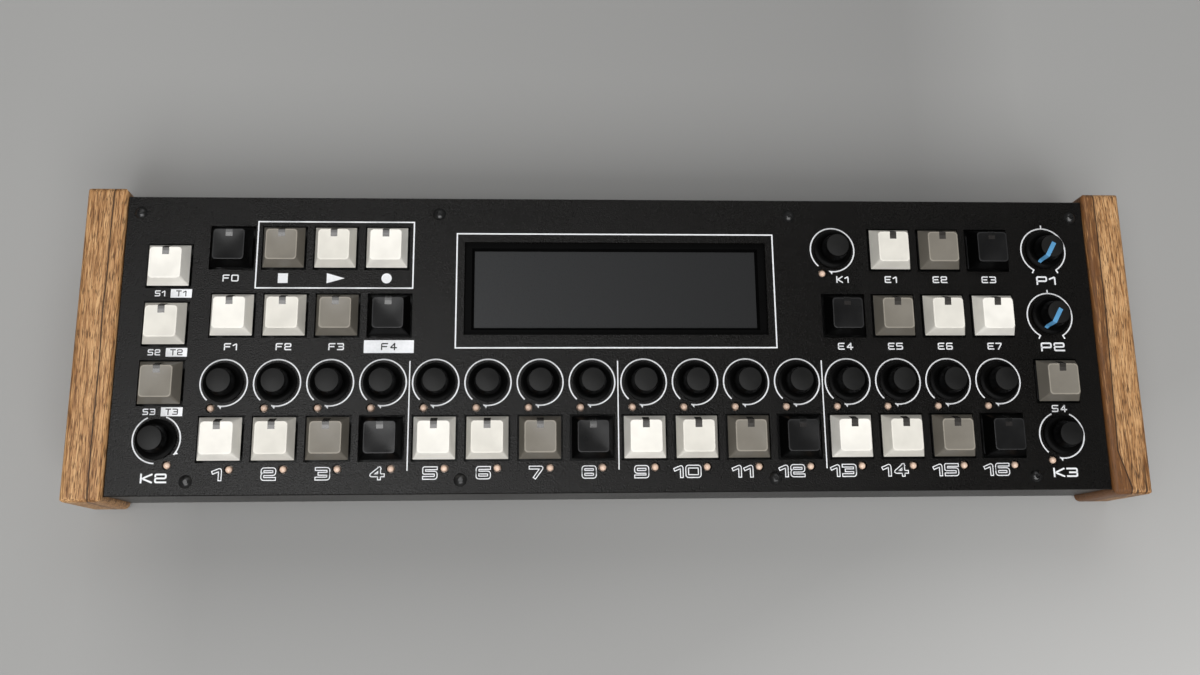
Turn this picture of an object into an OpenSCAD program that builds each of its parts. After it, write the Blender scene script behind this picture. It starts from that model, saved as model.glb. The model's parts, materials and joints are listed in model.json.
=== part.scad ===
// Desktop step sequencer: a folded steel case between two wooden cheeks, under a flat
// control panel that slopes down towards the player.
// Millimetres. X runs to the right, Y to the back and Z up. The origin lies on the table,
// under the middle of the cheeks. Positions on the panel are [u, v] from its middle, with
// w counted up from its top face.

/* [Panel] */
// Distance between neighbouring step columns
column_pitch = 23; // [21.5:0.5:26]
// From the last step column to the column of side controls
side_offset = 27; // [24:0.5:32]
// From the side controls to the panel's end
side_band = 20.5; // [18:0.5:28]
// From the panel's front edge to the row of step keys
front_band = 23.9; // [22:0.1:30]
// From the step keys to the step encoders
encoder_rise = 24.2; // [23.5:0.1:30]
// From the step encoders to the row of mode keys
mode_rise = 29.8; // [27:0.1:36]
// From the mode keys to the upper row of keys
upper_rise = 30.6; // [27:0.1:36]
// From the upper row of keys to the panel's back edge
back_band = 23.5; // [22:0.1:30]
// Thickness of the panel plate
panel_t = 2; // [1.5:0.1:3]
// Width of the bevel round the panel's top edge
panel_bevel = 0.4; // [0.2:0.1:0.8]
// Slope of the panel, back edge higher
panel_tilt = 3; // [0:0.5:8]
// Distance between the keys of the left side column
side_key_rise = 26; // [24:0.5:27]
// How far the mode keys stand to the right of the step columns
mode_shift = 1.9; // [0:0.1:3]
// How far the value knob stands to the left of its column
value_shift = 3.5; // [0:0.1:5]

/* [Case] */
// Height of the case at the panel's front edge, without feet
front_h = 41; // [38:1:60]
// Thickness of the folded sheet
sheet_t = 1.5; // [1:0.1:2.5]
// How far the case walls stand back from the panel's edges
wall_setback = 0.5; // [0.2:0.1:1.5]
// From the panel's front edge to the front screws
front_screw_inset = 6; // [5:0.1:6.5]
// From the panel's back edge to the back screws
back_screw_inset = 7.5; // [6:0.1:9]
// From the panel's ends to the corner screws at the back
end_screw_inset = 6; // [5:0.1:9]
// How far the folded lips reach past the screws
lip_margin = 2; // [1.8:0.1:2.4]

/* [Cheeks] */
// Thickness of a wooden cheek
cheek_t = 18; // [15:0.5:25]
// Gap between the panel and each cheek
cheek_gap = 0.3; // [0.1:0.1:1]
// Height of the cheeks above the panel
cheek_proud = 1; // [0:0.1:3]
// How far the cheeks reach in front of the panel
cheek_front = 2.2; // [1:0.1:6]
// How far the cheeks reach behind the panel
cheek_back = 4; // [2:0.1:8]
// Radius of the cheeks' rounded edges
cheek_edge_r = 2.5; // [1:0.1:4]
// Length of a cheek screw
cheek_screw_len = 14; // [10:1:14]

/* [Feet] */
// Diameter of a rubber foot where it meets the case
foot_d = 16; // [12:0.5:20]
// Diameter of the face that a foot stands on
foot_face_d = 13; // [10:0.5:15]
// Height of a rubber foot
foot_h = 4; // [2:0.5:8]
// From the case ends to the feet
foot_inset_x = 24; // [16:1:60]
// From the case front and back to the feet
foot_inset_y = 17; // [13:1:30]

/* [Keys] */
// Side of a square key cut-out
key_hole = 20; // [19.2:0.1:20.4]
// Side of a cap at its skirt
cap_base = 18.4; // [17.6:0.1:18.6]
// Side of a cap's top face
cap_top = 13.8; // [13:0.1:15]
// Height of a cap
cap_h = 7.6; // [7:0.1:9]
// Height of a cap's skirt above the panel
cap_lift = 1; // [0.6:0.1:2]
// Wall thickness of a cap
cap_wall = 1.5; // [1.2:0.1:1.7]
// Amount that a cap's corners are rounded off
cap_corner = 0.55; // [0.3:0.05:0.8]
// Depth of the hollow in a cap's top face
dish_depth = 0.5; // [0.2:0.05:0.7]
// Travel of a key
key_travel = 4; // [2.5:0.1:4]
// Width of the lamp window in a cap
window_w = 3; // [2:0.1:3.4]
// Length of the lamp window on a cap's top face
window_len = 3.3; // [2.4:0.1:4]
// Diameter of the round boss under a cap
boss_d = 5.6; // [5.4:0.1:5.8]

/* [Switches] */
// From the panel's top face to the control board
board_drop = 10; // [9.8:0.1:13]
// Side of a switch body
switch_w = 14; // [13.4:0.1:14.4]
// Side of the collar round a switch body
collar_w = 15.6; // [15:0.1:16]
// Height of the collar's underside above the board
collar_rise = 5; // [4:0.1:5.2]
// Width of a switch stem
slider_w = 7; // [6.6:0.1:7.4]
// Depth of a switch stem
slider_d = 5.8; // [5.6:0.1:6]
// Length of the cross on top of a stem
cross_len = 4; // [3.6:0.1:4.2]
// Thickness of the cross on top of a stem
cross_t = 1.2; // [1:0.05:1.4]
// Running gap round a stem
slide_gap = 0.4; // [0.3:0.05:0.5]

/* [Knobs] */
// Diameter of a knob's skirt
skirt_d = 17.3; // [16:0.1:18.4]
// Height of a skirt's straight edge
skirt_h = 1.2; // [0.8:0.1:2]
// Height of the hollow flare above the skirt
flare_h = 3.2; // [2:0.1:4]
// Diameter of a knob's neck above the flare
neck_d = 11.8; // [11.2:0.1:12.6]
// Diameter of a knob's top face
knob_top_d = 10.6; // [9.6:0.1:11]
// Height of a knob's top above the panel
knob_top = 10.8; // [10:0.1:15]
// Gap between a knob and the panel
knob_lift = 0.8; // [0.7:0.1:1.5]
// Width of the pointer line on a potentiometer knob's top
pointer_w = 2; // [0.8:0.1:2.4]
// Width of the pointer line at its lower end
pointer_end_w = 1.5; // [0.8:0.1:2]
// How far the pointer line starts behind the middle of the knob
pointer_back = 1.9; // [0:0.1:3]
// Diameter at which the pointer line ends on the knob's flare
pointer_end_d = 13.8; // [12.4:0.1:16]
// Depth of the pointer line
pointer_t = 0.5; // [0.3:0.1:0.8]

/* [Encoders] */
// Side of an encoder body
encoder_w = 12.4; // [11.6:0.1:13]
// Diameter of a bushing
bushing_d = 9; // [8.4:0.1:9.4]
// Height of a bushing's end above the panel
bushing_top = 1.2; // [0.8:0.1:1.4]
// Diameter of a shaft
shaft_d = 6; // [5.6:0.1:6.4]
// Radial gap round a shaft
shaft_gap = 0.12; // [0.08:0.01:0.2]
// Depth of the flat on a shaft
shaft_flat = 1.5; // [1:0.1:2]
// Travel of the value knob when it is pushed
push_travel = 0.5; // [0.3:0.05:0.5]

/* [Lamps] */
// Diameter of a lamp
lamp_d = 3; // [2.8:0.1:3.2]
// Diameter of a lamp's hole in the panel
lamp_hole = 4; // [3.8:0.1:4.2]
// Diameter of a lamp's foot on the board
lamp_foot_d = 3.6; // [3.4:0.1:3.8]
// Sideways offset of a lamp from its encoder
lamp_side = 5.1; // [4:0.1:6]
// Distance of a lamp in front of its encoder
lamp_drop = 10.95; // [10.4:0.05:11.2]
// Sideways offset of a lamp from its step key
step_lamp_side = 4.4; // [3:0.1:7]
// Distance of a lamp in front of its step key
step_lamp_drop = 12.9; // [12.5:0.1:13.2]

/* [Display] */
// Width of the display cut-out
window_x = 137.4; // [120:0.1:144]
// Depth of the display cut-out
window_y = 42.4; // [36:0.1:46]
// From the row of mode keys to the middle of the display
display_rise = 12.5; // [11:0.1:14]
// Width of the frame round the glass that shows in the cut-out
frame_side = 4.2; // [3:0.1:6]
// Width of the frame that shows at the front and the back of the glass
frame_end = 3.35; // [2:0.05:5]
// Thickness of the frame
frame_t = 1.6; // [1.2:0.1:1.8]
// How far the frame lies behind the panel
frame_lap = 4; // [3:0.1:5]
// Thickness of the glass
glass_t = 1.8; // [1.4:0.1:2]

/* [Boards] */
// Thickness of a circuit board
board_t = 1.6; // [1.2:0.1:2]
// From the panel's edges to the edges of the control board
board_inset = 6; // [5:0.5:6.5]
// Diameter of a spacer
spacer_d = 5; // [4.6:0.1:5.6]
// Height of the spacers under the interface board
low_spacer_h = 5; // [3:0.5:6]
// Depth of the interface board
io_depth = 66; // [60:1:72]
// Width of the ribbon cable
ribbon_w = 33; // [25:1:40]
// Thickness of the ribbon cable
ribbon_t = 1; // [0.8:0.1:1.4]
// Share of the ribbon cable's fall that each of its two bends takes
ribbon_bend = 0.36; // [0.3:0.01:0.42]
// Height of the connectors at the ribbon cable's ends
header_h = 8; // [7:0.1:8.4]
// Thickness of the connectors at the ribbon cable's ends
header_t = 8.5; // [7:0.1:10]

/* [Sockets] */
// Distance between the rear sockets
socket_pitch = 27; // [24:0.5:32]
// Width of a round socket's body
din_w = 21; // [20:0.1:23]
// Height of a round socket's body
din_h = 20; // [19:0.1:21]
// Depth of a round socket's body
din_depth = 13; // [11:0.1:15]
// Diameter of a round socket's nose
din_nose_d = 17; // [16.6:0.1:18]
// Outer diameter of the ring groove for a plug's shell
din_groove_d = 14.6; // [14:0.1:15.4]
// Width of that ring groove
din_groove_w = 1.3; // [1:0.1:1.5]
// How far the sockets reach out of the back wall
socket_reach = 1; // [0.5:0.1:1.5]
// Gap between a socket and its hole in the back wall
socket_gap = 0.3; // [0.2:0.05:0.5]

/* [Screws] */
// Diameter of a screw's shank
screw_d = 3; // [2.8:0.1:3.2]
// Diameter of a screw's head
head_d = 5.7; // [5.4:0.1:6]
// Height of a screw's head
head_h = 1.65; // [1.4:0.05:1.8]
// Width of the hexagon in a screw's head
hex_w = 2; // [1.6:0.1:2.4]
// Length of a panel screw
panel_screw_len = 8; // [6:1:10]
// Radial gap between a screw and its hole
screw_gap = 0.2; // [0.1:0.05:0.3]

/* [Hidden] */
$fn = 48;
// Extra length of a cut past the face that it opens
over = 1;
// Gap between the seated pieces of one group
seat_gap = 0.05;
step_columns = 16;
columns_to_value_knob = 12;
columns_to_back_screw = 11;
columns_to_front_screw = 10.5;
columns_to_front_spacer = 11.5;
panel_w = (step_columns - 1) * column_pitch + 2 * (side_offset + side_band);
panel_d = front_band + encoder_rise + mode_rise + upper_rise + back_band;

// Rows and columns of the controls
function column(i) = (i - (step_columns - 1) / 2) * column_pitch;
side_u = column(step_columns - 1) + side_offset;
row_step = -panel_d / 2 + front_band;
row_encoder = row_step + encoder_rise;
row_mode = row_encoder + mode_rise;
row_upper = row_mode + upper_rise;
step_key_at = [for (i = [0:step_columns - 1]) [column(i), row_step]];
step_knob_at = [for (i = [0:step_columns - 1]) [column(i), row_encoder]];
side_keys_at = [for (k = [2:-1:0]) [-side_u, row_encoder + k * side_key_rise]];
shift_key_at = [[column(0), row_upper]];
transport_keys_at = [for (i = [1:3]) [column(i), row_upper]];
mode_keys_at = [for (i = [0:3]) [column(i) + mode_shift, row_mode]];
upper_edit_keys_at = [for (i = [13:15]) [column(i), row_upper]];
lower_edit_keys_at = [for (i = [12:15]) [column(i), row_mode]];
gang_key_at = [[side_u, row_encoder]];
row_knob_at = [-side_u, row_step];
bar_knob_at = [side_u, row_step];
value_knob_at = [column(columns_to_value_knob) - value_shift, row_upper];
pot_a_at = [side_u, row_upper];
pot_b_at = [side_u, row_mode];
all_keys_at = concat(step_key_at, side_keys_at, shift_key_at, transport_keys_at, mode_keys_at,
    upper_edit_keys_at, lower_edit_keys_at, gang_key_at);
encoders_at = concat(step_knob_at, [row_knob_at, bar_knob_at, value_knob_at]);
all_knobs_at = concat(encoders_at, [pot_a_at, pot_b_at]);
lamps_at = concat(
    [for (p = concat(step_knob_at, [bar_knob_at, value_knob_at])) p + [-lamp_side, -lamp_drop]],
    [row_knob_at + [lamp_side, -lamp_drop]],
    [for (p = step_key_at) p + [step_lamp_side, -step_lamp_drop]]);

// Screws and spacers
front_screw_v = -panel_d / 2 + front_screw_inset;
back_screw_v = panel_d / 2 - back_screw_inset;
side_gap_u = column(step_columns - 1) + side_offset / 2;
panel_screws_at = [for (s = [-1, 1]) each [
    [s * (panel_w / 2 - end_screw_inset), back_screw_v],
    [s * column(columns_to_back_screw), back_screw_v],
    [s * side_gap_u, front_screw_v],
    [s * column(columns_to_front_screw), front_screw_v]]];
display_v = row_mode + display_rise;
spacer_shift = 1;
front_spacer_v = (row_step + row_encoder) / 2 + spacer_shift;
back_spacer_v = (row_mode + row_upper) / 2;
display_margin = [2, 1];
display_board_x = window_x + 2 * (frame_lap + display_margin.x);
display_board_y = window_y + 2 * (frame_lap + display_margin.y);
display_spacer_u = (display_board_x / 2 + value_knob_at.x - encoder_w / 2) / 2;
spacers_at = concat(
    [[0, front_spacer_v]],
    [for (s = [-1, 1], u = [side_gap_u, column(columns_to_front_spacer)]) [s * u, front_spacer_v]],
    [for (s = [-1, 1], u = [side_gap_u, display_spacer_u]) [s * u, back_spacer_v]]);
screw_hole_d = screw_d + 2 * screw_gap;

// Case section: the panel's middle, its underside and the walls
case_bottom = foot_h;
panel_y = (cheek_front - cheek_back) / 2;
panel_z = case_bottom + front_h + panel_d / 2 * sin(panel_tilt);
wall_front = panel_y - panel_d / 2 * cos(panel_tilt) + panel_t * sin(panel_tilt) + wall_setback;
wall_back = panel_y + panel_d / 2 * cos(panel_tilt) - wall_setback;
function under_panel(y) = panel_z - panel_t / cos(panel_tilt) + (y - panel_y) * tan(panel_tilt);
front_lip = front_screw_inset - wall_setback + lip_margin;
back_lip = back_screw_inset - wall_setback + lip_margin;
tray_w = panel_w + 2 * cheek_gap;
floor_z = case_bottom + sheet_t;

// Cheeks
cheek_len = panel_d * cos(panel_tilt) + cheek_front + cheek_back;
cheek_inner = tray_w / 2;
function cheek_top(y) = panel_z + cheek_proud / cos(panel_tilt) + (y - panel_y) * tan(panel_tilt);
cheek_screw_z = case_bottom + front_h / 2;
cheek_screws_y = [for (k = [-1, 0, 1]) k * cheek_len / 3];

// Keys: the cap's ceiling, the switch body and the stem
cap_ceiling = cap_lift + cap_h - dish_depth - cap_wall;
ceiling_gap = 1;
switch_top = cap_ceiling - key_travel - ceiling_gap;
switch_top_w = cap_top - 2 * cap_wall - slide_gap;
switch_floor_t = 1;
collar_t = 1;
slider_sink = 0.2;
slider_top = switch_top - slider_sink;
slider_bottom = -board_drop + switch_floor_t + key_travel + slide_gap;
boss_gap = 0.3;
boss_bottom = slider_top + boss_gap;
cross_end_gap = 1.2;
cross_top = cap_ceiling - cross_end_gap;
cross_gap = 0.08;
post_d = 4;
post_reach = 1;
dish_spread = 1.2;
dish_half = cap_top / 2 * dish_spread;
dish_r = (dish_half * dish_half + dish_depth * dish_depth) / (2 * dish_depth);
window_floor = 2;

// Encoders and knobs
encoder_gap = 1.2;
encoder_top = -panel_t - encoder_gap;
encoder_floor_t = 1;
shaft_end_gap = 0.3;
shaft_bottom = -board_drop + encoder_floor_t + shaft_end_gap;
push_rod_h = 2.2;
push_rod_d = 3.6;
push_rod_gap = 0.1;
push_rod_bottom = -board_drop + encoder_floor_t + push_travel + push_rod_gap;
knob_roof_t = 2;
shaft_top = knob_top - knob_roof_t;
bore_d = shaft_d + 2 * shaft_gap;
bushing_gap = 0.3;
bushing_hole = bushing_d + 2 * bushing_gap;
recess_gap = 0.7;
bushing_recess_d = bushing_d + 2 * recess_gap;
recess_end_gap = 0.5;
bushing_recess_top = bushing_top + push_travel + recess_end_gap;
flat_lead = 0.3;
flat_from = bushing_recess_top - flat_lead;
knob_edge = 0.3;
flare_steps = 6;
pot_rest = -150;

// Lamps: the top of the foot under the panel, and where the dome starts
lamp_foot_top = -panel_t - 1;
lamp_shoulder = -lamp_d / 4;

// Interface board and sockets
io_z = floor_z + low_spacer_h;
io_top = io_z + board_t;
io_back_gap = 0.5;
io_back = wall_back - sheet_t - io_back_gap;
socket_count = 7;
function socket_x(i) = (i - (socket_count - 1) / 2) * socket_pitch;
din_at = [for (i = [0:socket_count - 3]) socket_x(i)];
usb_x = socket_x(socket_count - 2);
inlet_x = socket_x(socket_count - 1);
din_z = io_top + din_h / 2;
cup_depth = 9;
pin_count = 5;
pin_step = 45;
pin_ring_d = 7;
pin_hole_d = 1.6;
insert_sink = 0.6;
usb_w = 12;
usb_h = 11;
usb_depth = 16;
usb_mouth = [8.6, 7.9];
usb_tongue = [5.6, 3.2];
usb_cavity = 9;
inlet_w = 9;
inlet_h = 11;
inlet_depth = 14;
inlet_bore = 6.4;
inlet_pin = 2;
inlet_back_t = 3;
io_margin = 5;
io_w = socket_count * socket_pitch + 2 * io_margin;
ribbon_v = 0;
ribbon_gap = 0.3;
io_header_inset = 17.5;
header_end = 3;

white = [0.93, 0.93, 0.90];
light = [0.80, 0.79, 0.75];
taupe = [0.47, 0.44, 0.40];
black = [0.06, 0.06, 0.065];
cap_colours = [white, light, taupe, black];

step_key_names = [for (i = [1:step_columns]) str("step_key_", i)];
step_knob_names = [for (i = [1:step_columns]) str("step_knob_", i)];

// Places its children in the panel's frame: origin in the middle of the top face
module on_panel() {
    translate([0, panel_y, panel_z])
        rotate([panel_tilt, 0, 0])
            children();
}

// Puts a copy of its children at each [u, v] place on the panel
module at_each(places) {
    for (p = places)
        translate([p.x, p.y, 0])
            children();
}

// A box centred on the Z axis, from height low to height high
module block(size_x, size_y, low, high) {
    translate([-size_x / 2, -size_y / 2, low])
        cube([size_x, size_y, high - low]);
}

// A rod along the Z axis, from height low to height high
module rod(d, low, high) {
    translate([0, 0, low])
        cylinder(d = d, h = high - low);
}

// A side-on outline in Y and Z, drawn out to a width centred on X
module across(width) {
    rotate([90, 0, 90])
        linear_extrude(width, center = true)
            children();
}

// Corner points of a rectangle with rounded corners
function rounded_rectangle(low, high, r, steps = 8) = [
    for (c = [[high.x - r, high.y - r, 0], [low.x + r, high.y - r, 90],
              [low.x + r, low.y + r, 180], [high.x - r, low.y + r, 270]])
    for (k = [0:steps])
    let (a = c.z + 90 * k / steps)
    [c.x + r * cos(a), c.y + r * sin(a)]];

// A four-sided frustum with its corners rounded off by a cone
module square_frustum(base, top, low, high, corner) {
    outline = [[-base / 2, low], [base / 2, low], [top / 2, high], [-top / 2, high]];
    intersection() {
        rotate([90, 0, 0])
            linear_extrude(base + over, center = true)
                polygon(outline);
        across(base + over)
            polygon(outline);
        translate([0, 0, low])
            cylinder(h = high - low, r1 = base / sqrt(2) - corner, r2 = top / sqrt(2) - corner);
    }
}

// The folded tray: floor, front and back walls with inward lips, and the two end walls
module base_tray() {
    color(black)
    difference() {
        union() {
            across(tray_w)
                polygon(tray_section());
            for (s = [-1, 1])
                translate([s * (tray_w - sheet_t) / 2, 0, 0])
                    across(sheet_t)
                        polygon(tray_outline());
        }
        on_panel()
            at_each(panel_screws_at)
                rod(screw_hole_d, -panel_screw_len - over, over);
        cheek_screw_places()
            rod(screw_hole_d, -over, sheet_t + over);
        socket_holes();
    }
}

function tray_outline() = [
    [wall_front, case_bottom],
    [wall_back, case_bottom],
    [wall_back, under_panel(wall_back)],
    [wall_front, under_panel(wall_front)]];

function tray_section() = let (
    front_in = wall_front + sheet_t,
    back_in = wall_back - sheet_t,
    front_end = wall_front + front_lip,
    back_end = wall_back - back_lip) [
    [wall_front, case_bottom],
    [wall_back, case_bottom],
    [wall_back, under_panel(wall_back)],
    [back_end, under_panel(back_end)],
    [back_end, under_panel(back_end) - sheet_t],
    [back_in, under_panel(back_in) - sheet_t],
    [back_in, floor_z],
    [front_in, floor_z],
    [front_in, under_panel(front_in) - sheet_t],
    [front_end, under_panel(front_end) - sheet_t],
    [front_end, under_panel(front_end)],
    [wall_front, under_panel(wall_front)]];

// The holes in the back wall that the sockets stand in
module socket_holes() {
    for (x = din_at)
        translate([x, wall_back, din_z])
            rotate([90, 0, 0])
                rod(din_nose_d + 2 * socket_gap, -over, sheet_t + over);
    translate([usb_x, wall_back, io_top + usb_h / 2])
        rotate([90, 0, 0])
            block(usb_w + 2 * socket_gap, usb_h + 2 * socket_gap, -over, sheet_t + over);
    translate([inlet_x, wall_back, io_top + inlet_h / 2])
        rotate([90, 0, 0])
            block(inlet_w + 2 * socket_gap, inlet_h + 2 * socket_gap, -over, sheet_t + over);
}

// The panel plate with its bevelled top edge and every cut-out
module top_panel() {
    color(black)
    on_panel()
    difference() {
        panel_plate();
        at_each(all_keys_at)
            block(key_hole, key_hole, -panel_t - over, over);
        at_each(all_knobs_at)
            rod(bushing_hole, -panel_t - over, over);
        at_each(lamps_at)
            rod(lamp_hole, -panel_t - over, over);
        at_each(panel_screws_at)
            rod(screw_hole_d, -panel_t - over, over);
        translate([0, display_v, 0])
            block(window_x, window_y, -panel_t - over, over);
    }
}

module panel_plate() {
    intersection() {
        rotate([90, 0, 0])
            linear_extrude(panel_d + over, center = true)
                polygon(bevelled_section(panel_w));
        across(panel_w + over)
            polygon(bevelled_section(panel_d));
    }
}

function bevelled_section(width) = [
    [-width / 2, -panel_t],
    [width / 2, -panel_t],
    [width / 2, -panel_bevel],
    [width / 2 - panel_bevel, 0],
    [-width / 2 + panel_bevel, 0],
    [-width / 2, -panel_bevel]];

// A wooden cheek on the right; all its long edges are rounded
module cheek() {
    half = cheek_len / 2;
    slope_len = cheek_len / cos(panel_tilt) + 4 * cheek_edge_r;
    color("peru")
    difference() {
        intersection() {
            translate([cheek_inner, 0, 0])
                rotate([90, 0, 90])
                    linear_extrude(cheek_t)
                        polygon(cheek_side());
            on_panel()
                rotate([90, 0, 0])
                    linear_extrude(slope_len, center = true)
                        polygon(rounded_rectangle([cheek_inner, -2 * cheek_len],
                            [cheek_inner + cheek_t, cheek_proud], cheek_edge_r));
            translate([0, 0, -over])
                linear_extrude(2 * cheek_len)
                    polygon(rounded_rectangle([cheek_inner, -half], [cheek_inner + cheek_t, half],
                        cheek_edge_r));
        }
        cheek_screw_places(1)
            rod(screw_hole_d, -cheek_screw_len, over);
    }
}

// Side outline of a cheek, with its two upper corners rounded
function cheek_side() = let (
    half = cheek_len / 2,
    r = cheek_edge_r,
    steps = 8,
    front_y = -half + r,
    back_y = half - r) concat(
    [[-half, case_bottom], [half, case_bottom]],
    [for (k = [0:steps]) let (a = k * (90 + panel_tilt) / steps)
        [back_y + r * cos(a), cheek_top(back_y) - r / cos(panel_tilt) + r * sin(a)]],
    [for (k = [0:steps]) let (a = 90 + panel_tilt + k * (90 - panel_tilt) / steps)
        [front_y + r * cos(a), cheek_top(front_y) - r / cos(panel_tilt) + r * sin(a)]]);

module right_cheek() {
    cheek();
}

module left_cheek() {
    mirror([1, 0, 0])
        cheek();
}

// The cheek screws' places: Z points into the case, from a cheek's inner face
module cheek_screw_places(sides = [-1, 1]) {
    for (s = sides, y = cheek_screws_y)
        translate([s * cheek_inner, y, cheek_screw_z])
            rotate([0, -90 * s, 0])
                children();
}

// A button-head screw with a hexagon socket; its head stands on Z = 0
module button_screw(length) {
    ball_r = (head_d * head_d / 4 + head_h * head_h) / (2 * head_h);
    hex_floor = 0.35 * head_h;
    color(black)
    difference() {
        union() {
            rod(screw_d, -length, head_h / 2);
            intersection() {
                rod(head_d, 0, head_h);
                translate([0, 0, head_h - ball_r])
                    sphere(r = ball_r);
            }
        }
        translate([0, 0, hex_floor])
            cylinder(d = hex_w / cos(30), h = head_h, $fn = 6);
    }
}

// All the screws: in the panel, in the cheeks and under the control board
module case_screws() {
    on_panel()
        at_each(panel_screws_at)
            button_screw(panel_screw_len);
    cheek_screw_places()
        translate([0, 0, sheet_t])
            button_screw(cheek_screw_len);
    on_panel()
        at_each(spacers_at)
            translate([0, 0, -board_drop - board_t])
                rotate([180, 0, 0])
                    button_screw(board_drop - panel_t);
}

// Four tapered rubber feet
module rubber_feet() {
    color("dimgray")
    for (s = [-1, 1], y = [wall_front + foot_inset_y, wall_back - foot_inset_y])
        translate([s * (tray_w / 2 - foot_inset_x), y, 0])
            cylinder(h = foot_h, d1 = foot_face_d, d2 = foot_d);
}

// The board under the panel, with its spacers and the connector for the ribbon cable
module control_board() {
    color("darkslategray")
    on_panel() {
        difference() {
            block(panel_w - 2 * board_inset, panel_d - 2 * board_inset, -board_drop - board_t, -board_drop);
            at_each(all_keys_at)
                rod(post_d + 2 * cross_gap, -board_drop - board_t - over, -board_drop + over);
            at_each(spacers_at)
                rod(screw_hole_d, -board_drop - board_t - over, -board_drop + over);
        }
        at_each(spacers_at)
            difference() {
                rod(spacer_d, -board_drop + seat_gap, -panel_t);
                rod(screw_hole_d, -board_drop - over, -panel_t + over);
            }
        translate([0, ribbon_v, 0])
            header(-board_drop - board_t - header_h, -board_drop - board_t - seat_gap);
    }
}

module header(low, high) {
    block(ribbon_w + 2 * header_end, header_t, low, high);
}

// One switch body per key: a tapered top, a collar and a post through the board
module key_switches() {
    color("dimgray")
    on_panel()
        at_each(all_keys_at)
            difference() {
                union() {
                    block(switch_w, switch_w, -board_drop, -board_drop + collar_rise);
                    block(collar_w, collar_w, -board_drop + collar_rise, -board_drop + collar_rise + collar_t);
                    square_frustum(switch_w, switch_top_w, -board_drop + collar_rise + collar_t, switch_top,
                        cap_corner);
                    rod(post_d, -board_drop - board_t - post_reach, -board_drop + switch_floor_t);
                }
                block(slider_w + 2 * slide_gap, slider_d + 2 * slide_gap, -board_drop + switch_floor_t,
                    switch_top + over);
            }
}

// A key: its cap with a lamp window, and the stem that slides in the switch body
module key(colour) {
    color(colour)
    difference() {
        union() {
            cap_shell();
            rod(boss_d, boss_bottom, cap_ceiling + dish_depth / 2);
        }
        window_slot(0);
        stem_cross(cross_gap);
    }
    color("dimgray")
    intersection() {
        cap_shell();
        window_slot(seat_gap);
    }
    color("saddlebrown") {
        block(slider_w, slider_d, slider_bottom, slider_top);
        stem_cross(0);
    }
}

module cap_shell() {
    slope = (cap_base - cap_top) / cap_h;
    inner_base = cap_base - 2 * cap_wall;
    difference() {
        square_frustum(cap_base, cap_top, cap_lift, cap_lift + cap_h, cap_corner);
        translate([0, 0, cap_lift + cap_h - dish_depth + dish_r])
            sphere(r = dish_r, $fn = 96);
        square_frustum(inner_base + slope * over, cap_top - 2 * cap_wall, cap_lift - over, cap_ceiling,
            cap_corner);
    }
}

// The slot for the lamp window; inset draws in the piece that fills it
module window_slot(inset) {
    translate([-window_w / 2 + inset, cap_top / 2 - window_len + inset, cap_lift + window_floor + inset])
        cube([window_w - 2 * inset, cap_base, cap_h]);
}

module stem_cross(gap) {
    block(cross_len + 2 * gap, cross_t + 2 * gap, slider_top, cross_top + gap);
    block(cross_t + 2 * gap, cross_len + 2 * gap, slider_top, cross_top + gap);
}

module keys(places, colours) {
    on_panel()
        for (i = [0:len(places) - 1])
            translate([places[i].x, places[i].y, 0])
                key(colours[i]);
}

// One body per encoder and potentiometer, with a bushing through the panel
module encoder_bodies() {
    color("silver")
    on_panel()
        at_each(all_knobs_at)
            difference() {
                union() {
                    block(encoder_w, encoder_w, -board_drop, encoder_top);
                    rod(bushing_d, encoder_top - over, bushing_top);
                }
                rod(bore_d, -board_drop + encoder_floor_t, bushing_top + over);
            }
}

// Outline of half a knob, from its underside to its top; inset draws it in from its skin
function knob_outline(inset) = concat(
    [[0, knob_lift], [skirt_d / 2 - inset, knob_lift]],
    [for (k = [0:flare_steps])
        let (a = 270 - 90 * k / flare_steps, reach = (skirt_d - neck_d) / 2)
        [skirt_d / 2 - inset + reach * cos(a),
         knob_lift + skirt_h + flare_h * (1 + sin(a)) - inset * (flare_steps - k) / flare_steps]],
    [[knob_top_d / 2 - inset, knob_top - knob_edge - inset],
     [knob_top_d / 2 - knob_edge - inset, knob_top - inset],
     [0, knob_top - inset]]);

module knob_blank(inset = 0) {
    rotate_extrude()
        polygon(knob_outline(inset));
}

// A shaft with a flat along its upper part; gap widens it into a knob's bore
module shaft(low, high, gap = 0) {
    difference() {
        rod(shaft_d + 2 * gap, low, high);
        translate([-shaft_d, shaft_d / 2 - shaft_flat + gap, flat_from])
            cube([2 * shaft_d, shaft_d, high]);
    }
}

// A knob with its shaft; the shaft of the value knob ends on a push rod
module knob(low = shaft_bottom, pointer = false) {
    color(black)
    difference() {
        knob_blank();
        rod(bushing_recess_d, knob_lift - over, bushing_recess_top);
        shaft(0, shaft_top + shaft_gap, shaft_gap);
        if (pointer)
            pointer_line(0);
    }
    color("silver")
        shaft(low, shaft_top);
    if (pointer)
        color("steelblue")
            pointer_line(seat_gap);
}

// Plan of the pointer line: even over the knob's top, then narrowing to its end
function pointer_plan(inset) =
    let (wide = pointer_w / 2 - inset, narrow = pointer_end_w / 2 - inset, start = inset - pointer_back)
    [[-wide, start], [wide, start], [wide, knob_top_d / 2],
     [narrow, pointer_end_d / 2], [-narrow, pointer_end_d / 2], [-wide, knob_top_d / 2]];

// The line over a potentiometer knob's top and down its side; inset draws it in from its groove
module pointer_line(inset) {
    difference() {
        intersection() {
            knob_blank();
            rod(pointer_end_d - 2 * inset, knob_lift, knob_top);
            translate([0, 0, knob_lift])
                linear_extrude(knob_top)
                    polygon(pointer_plan(inset));
        }
        knob_blank(pointer_t - inset);
    }
}

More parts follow.
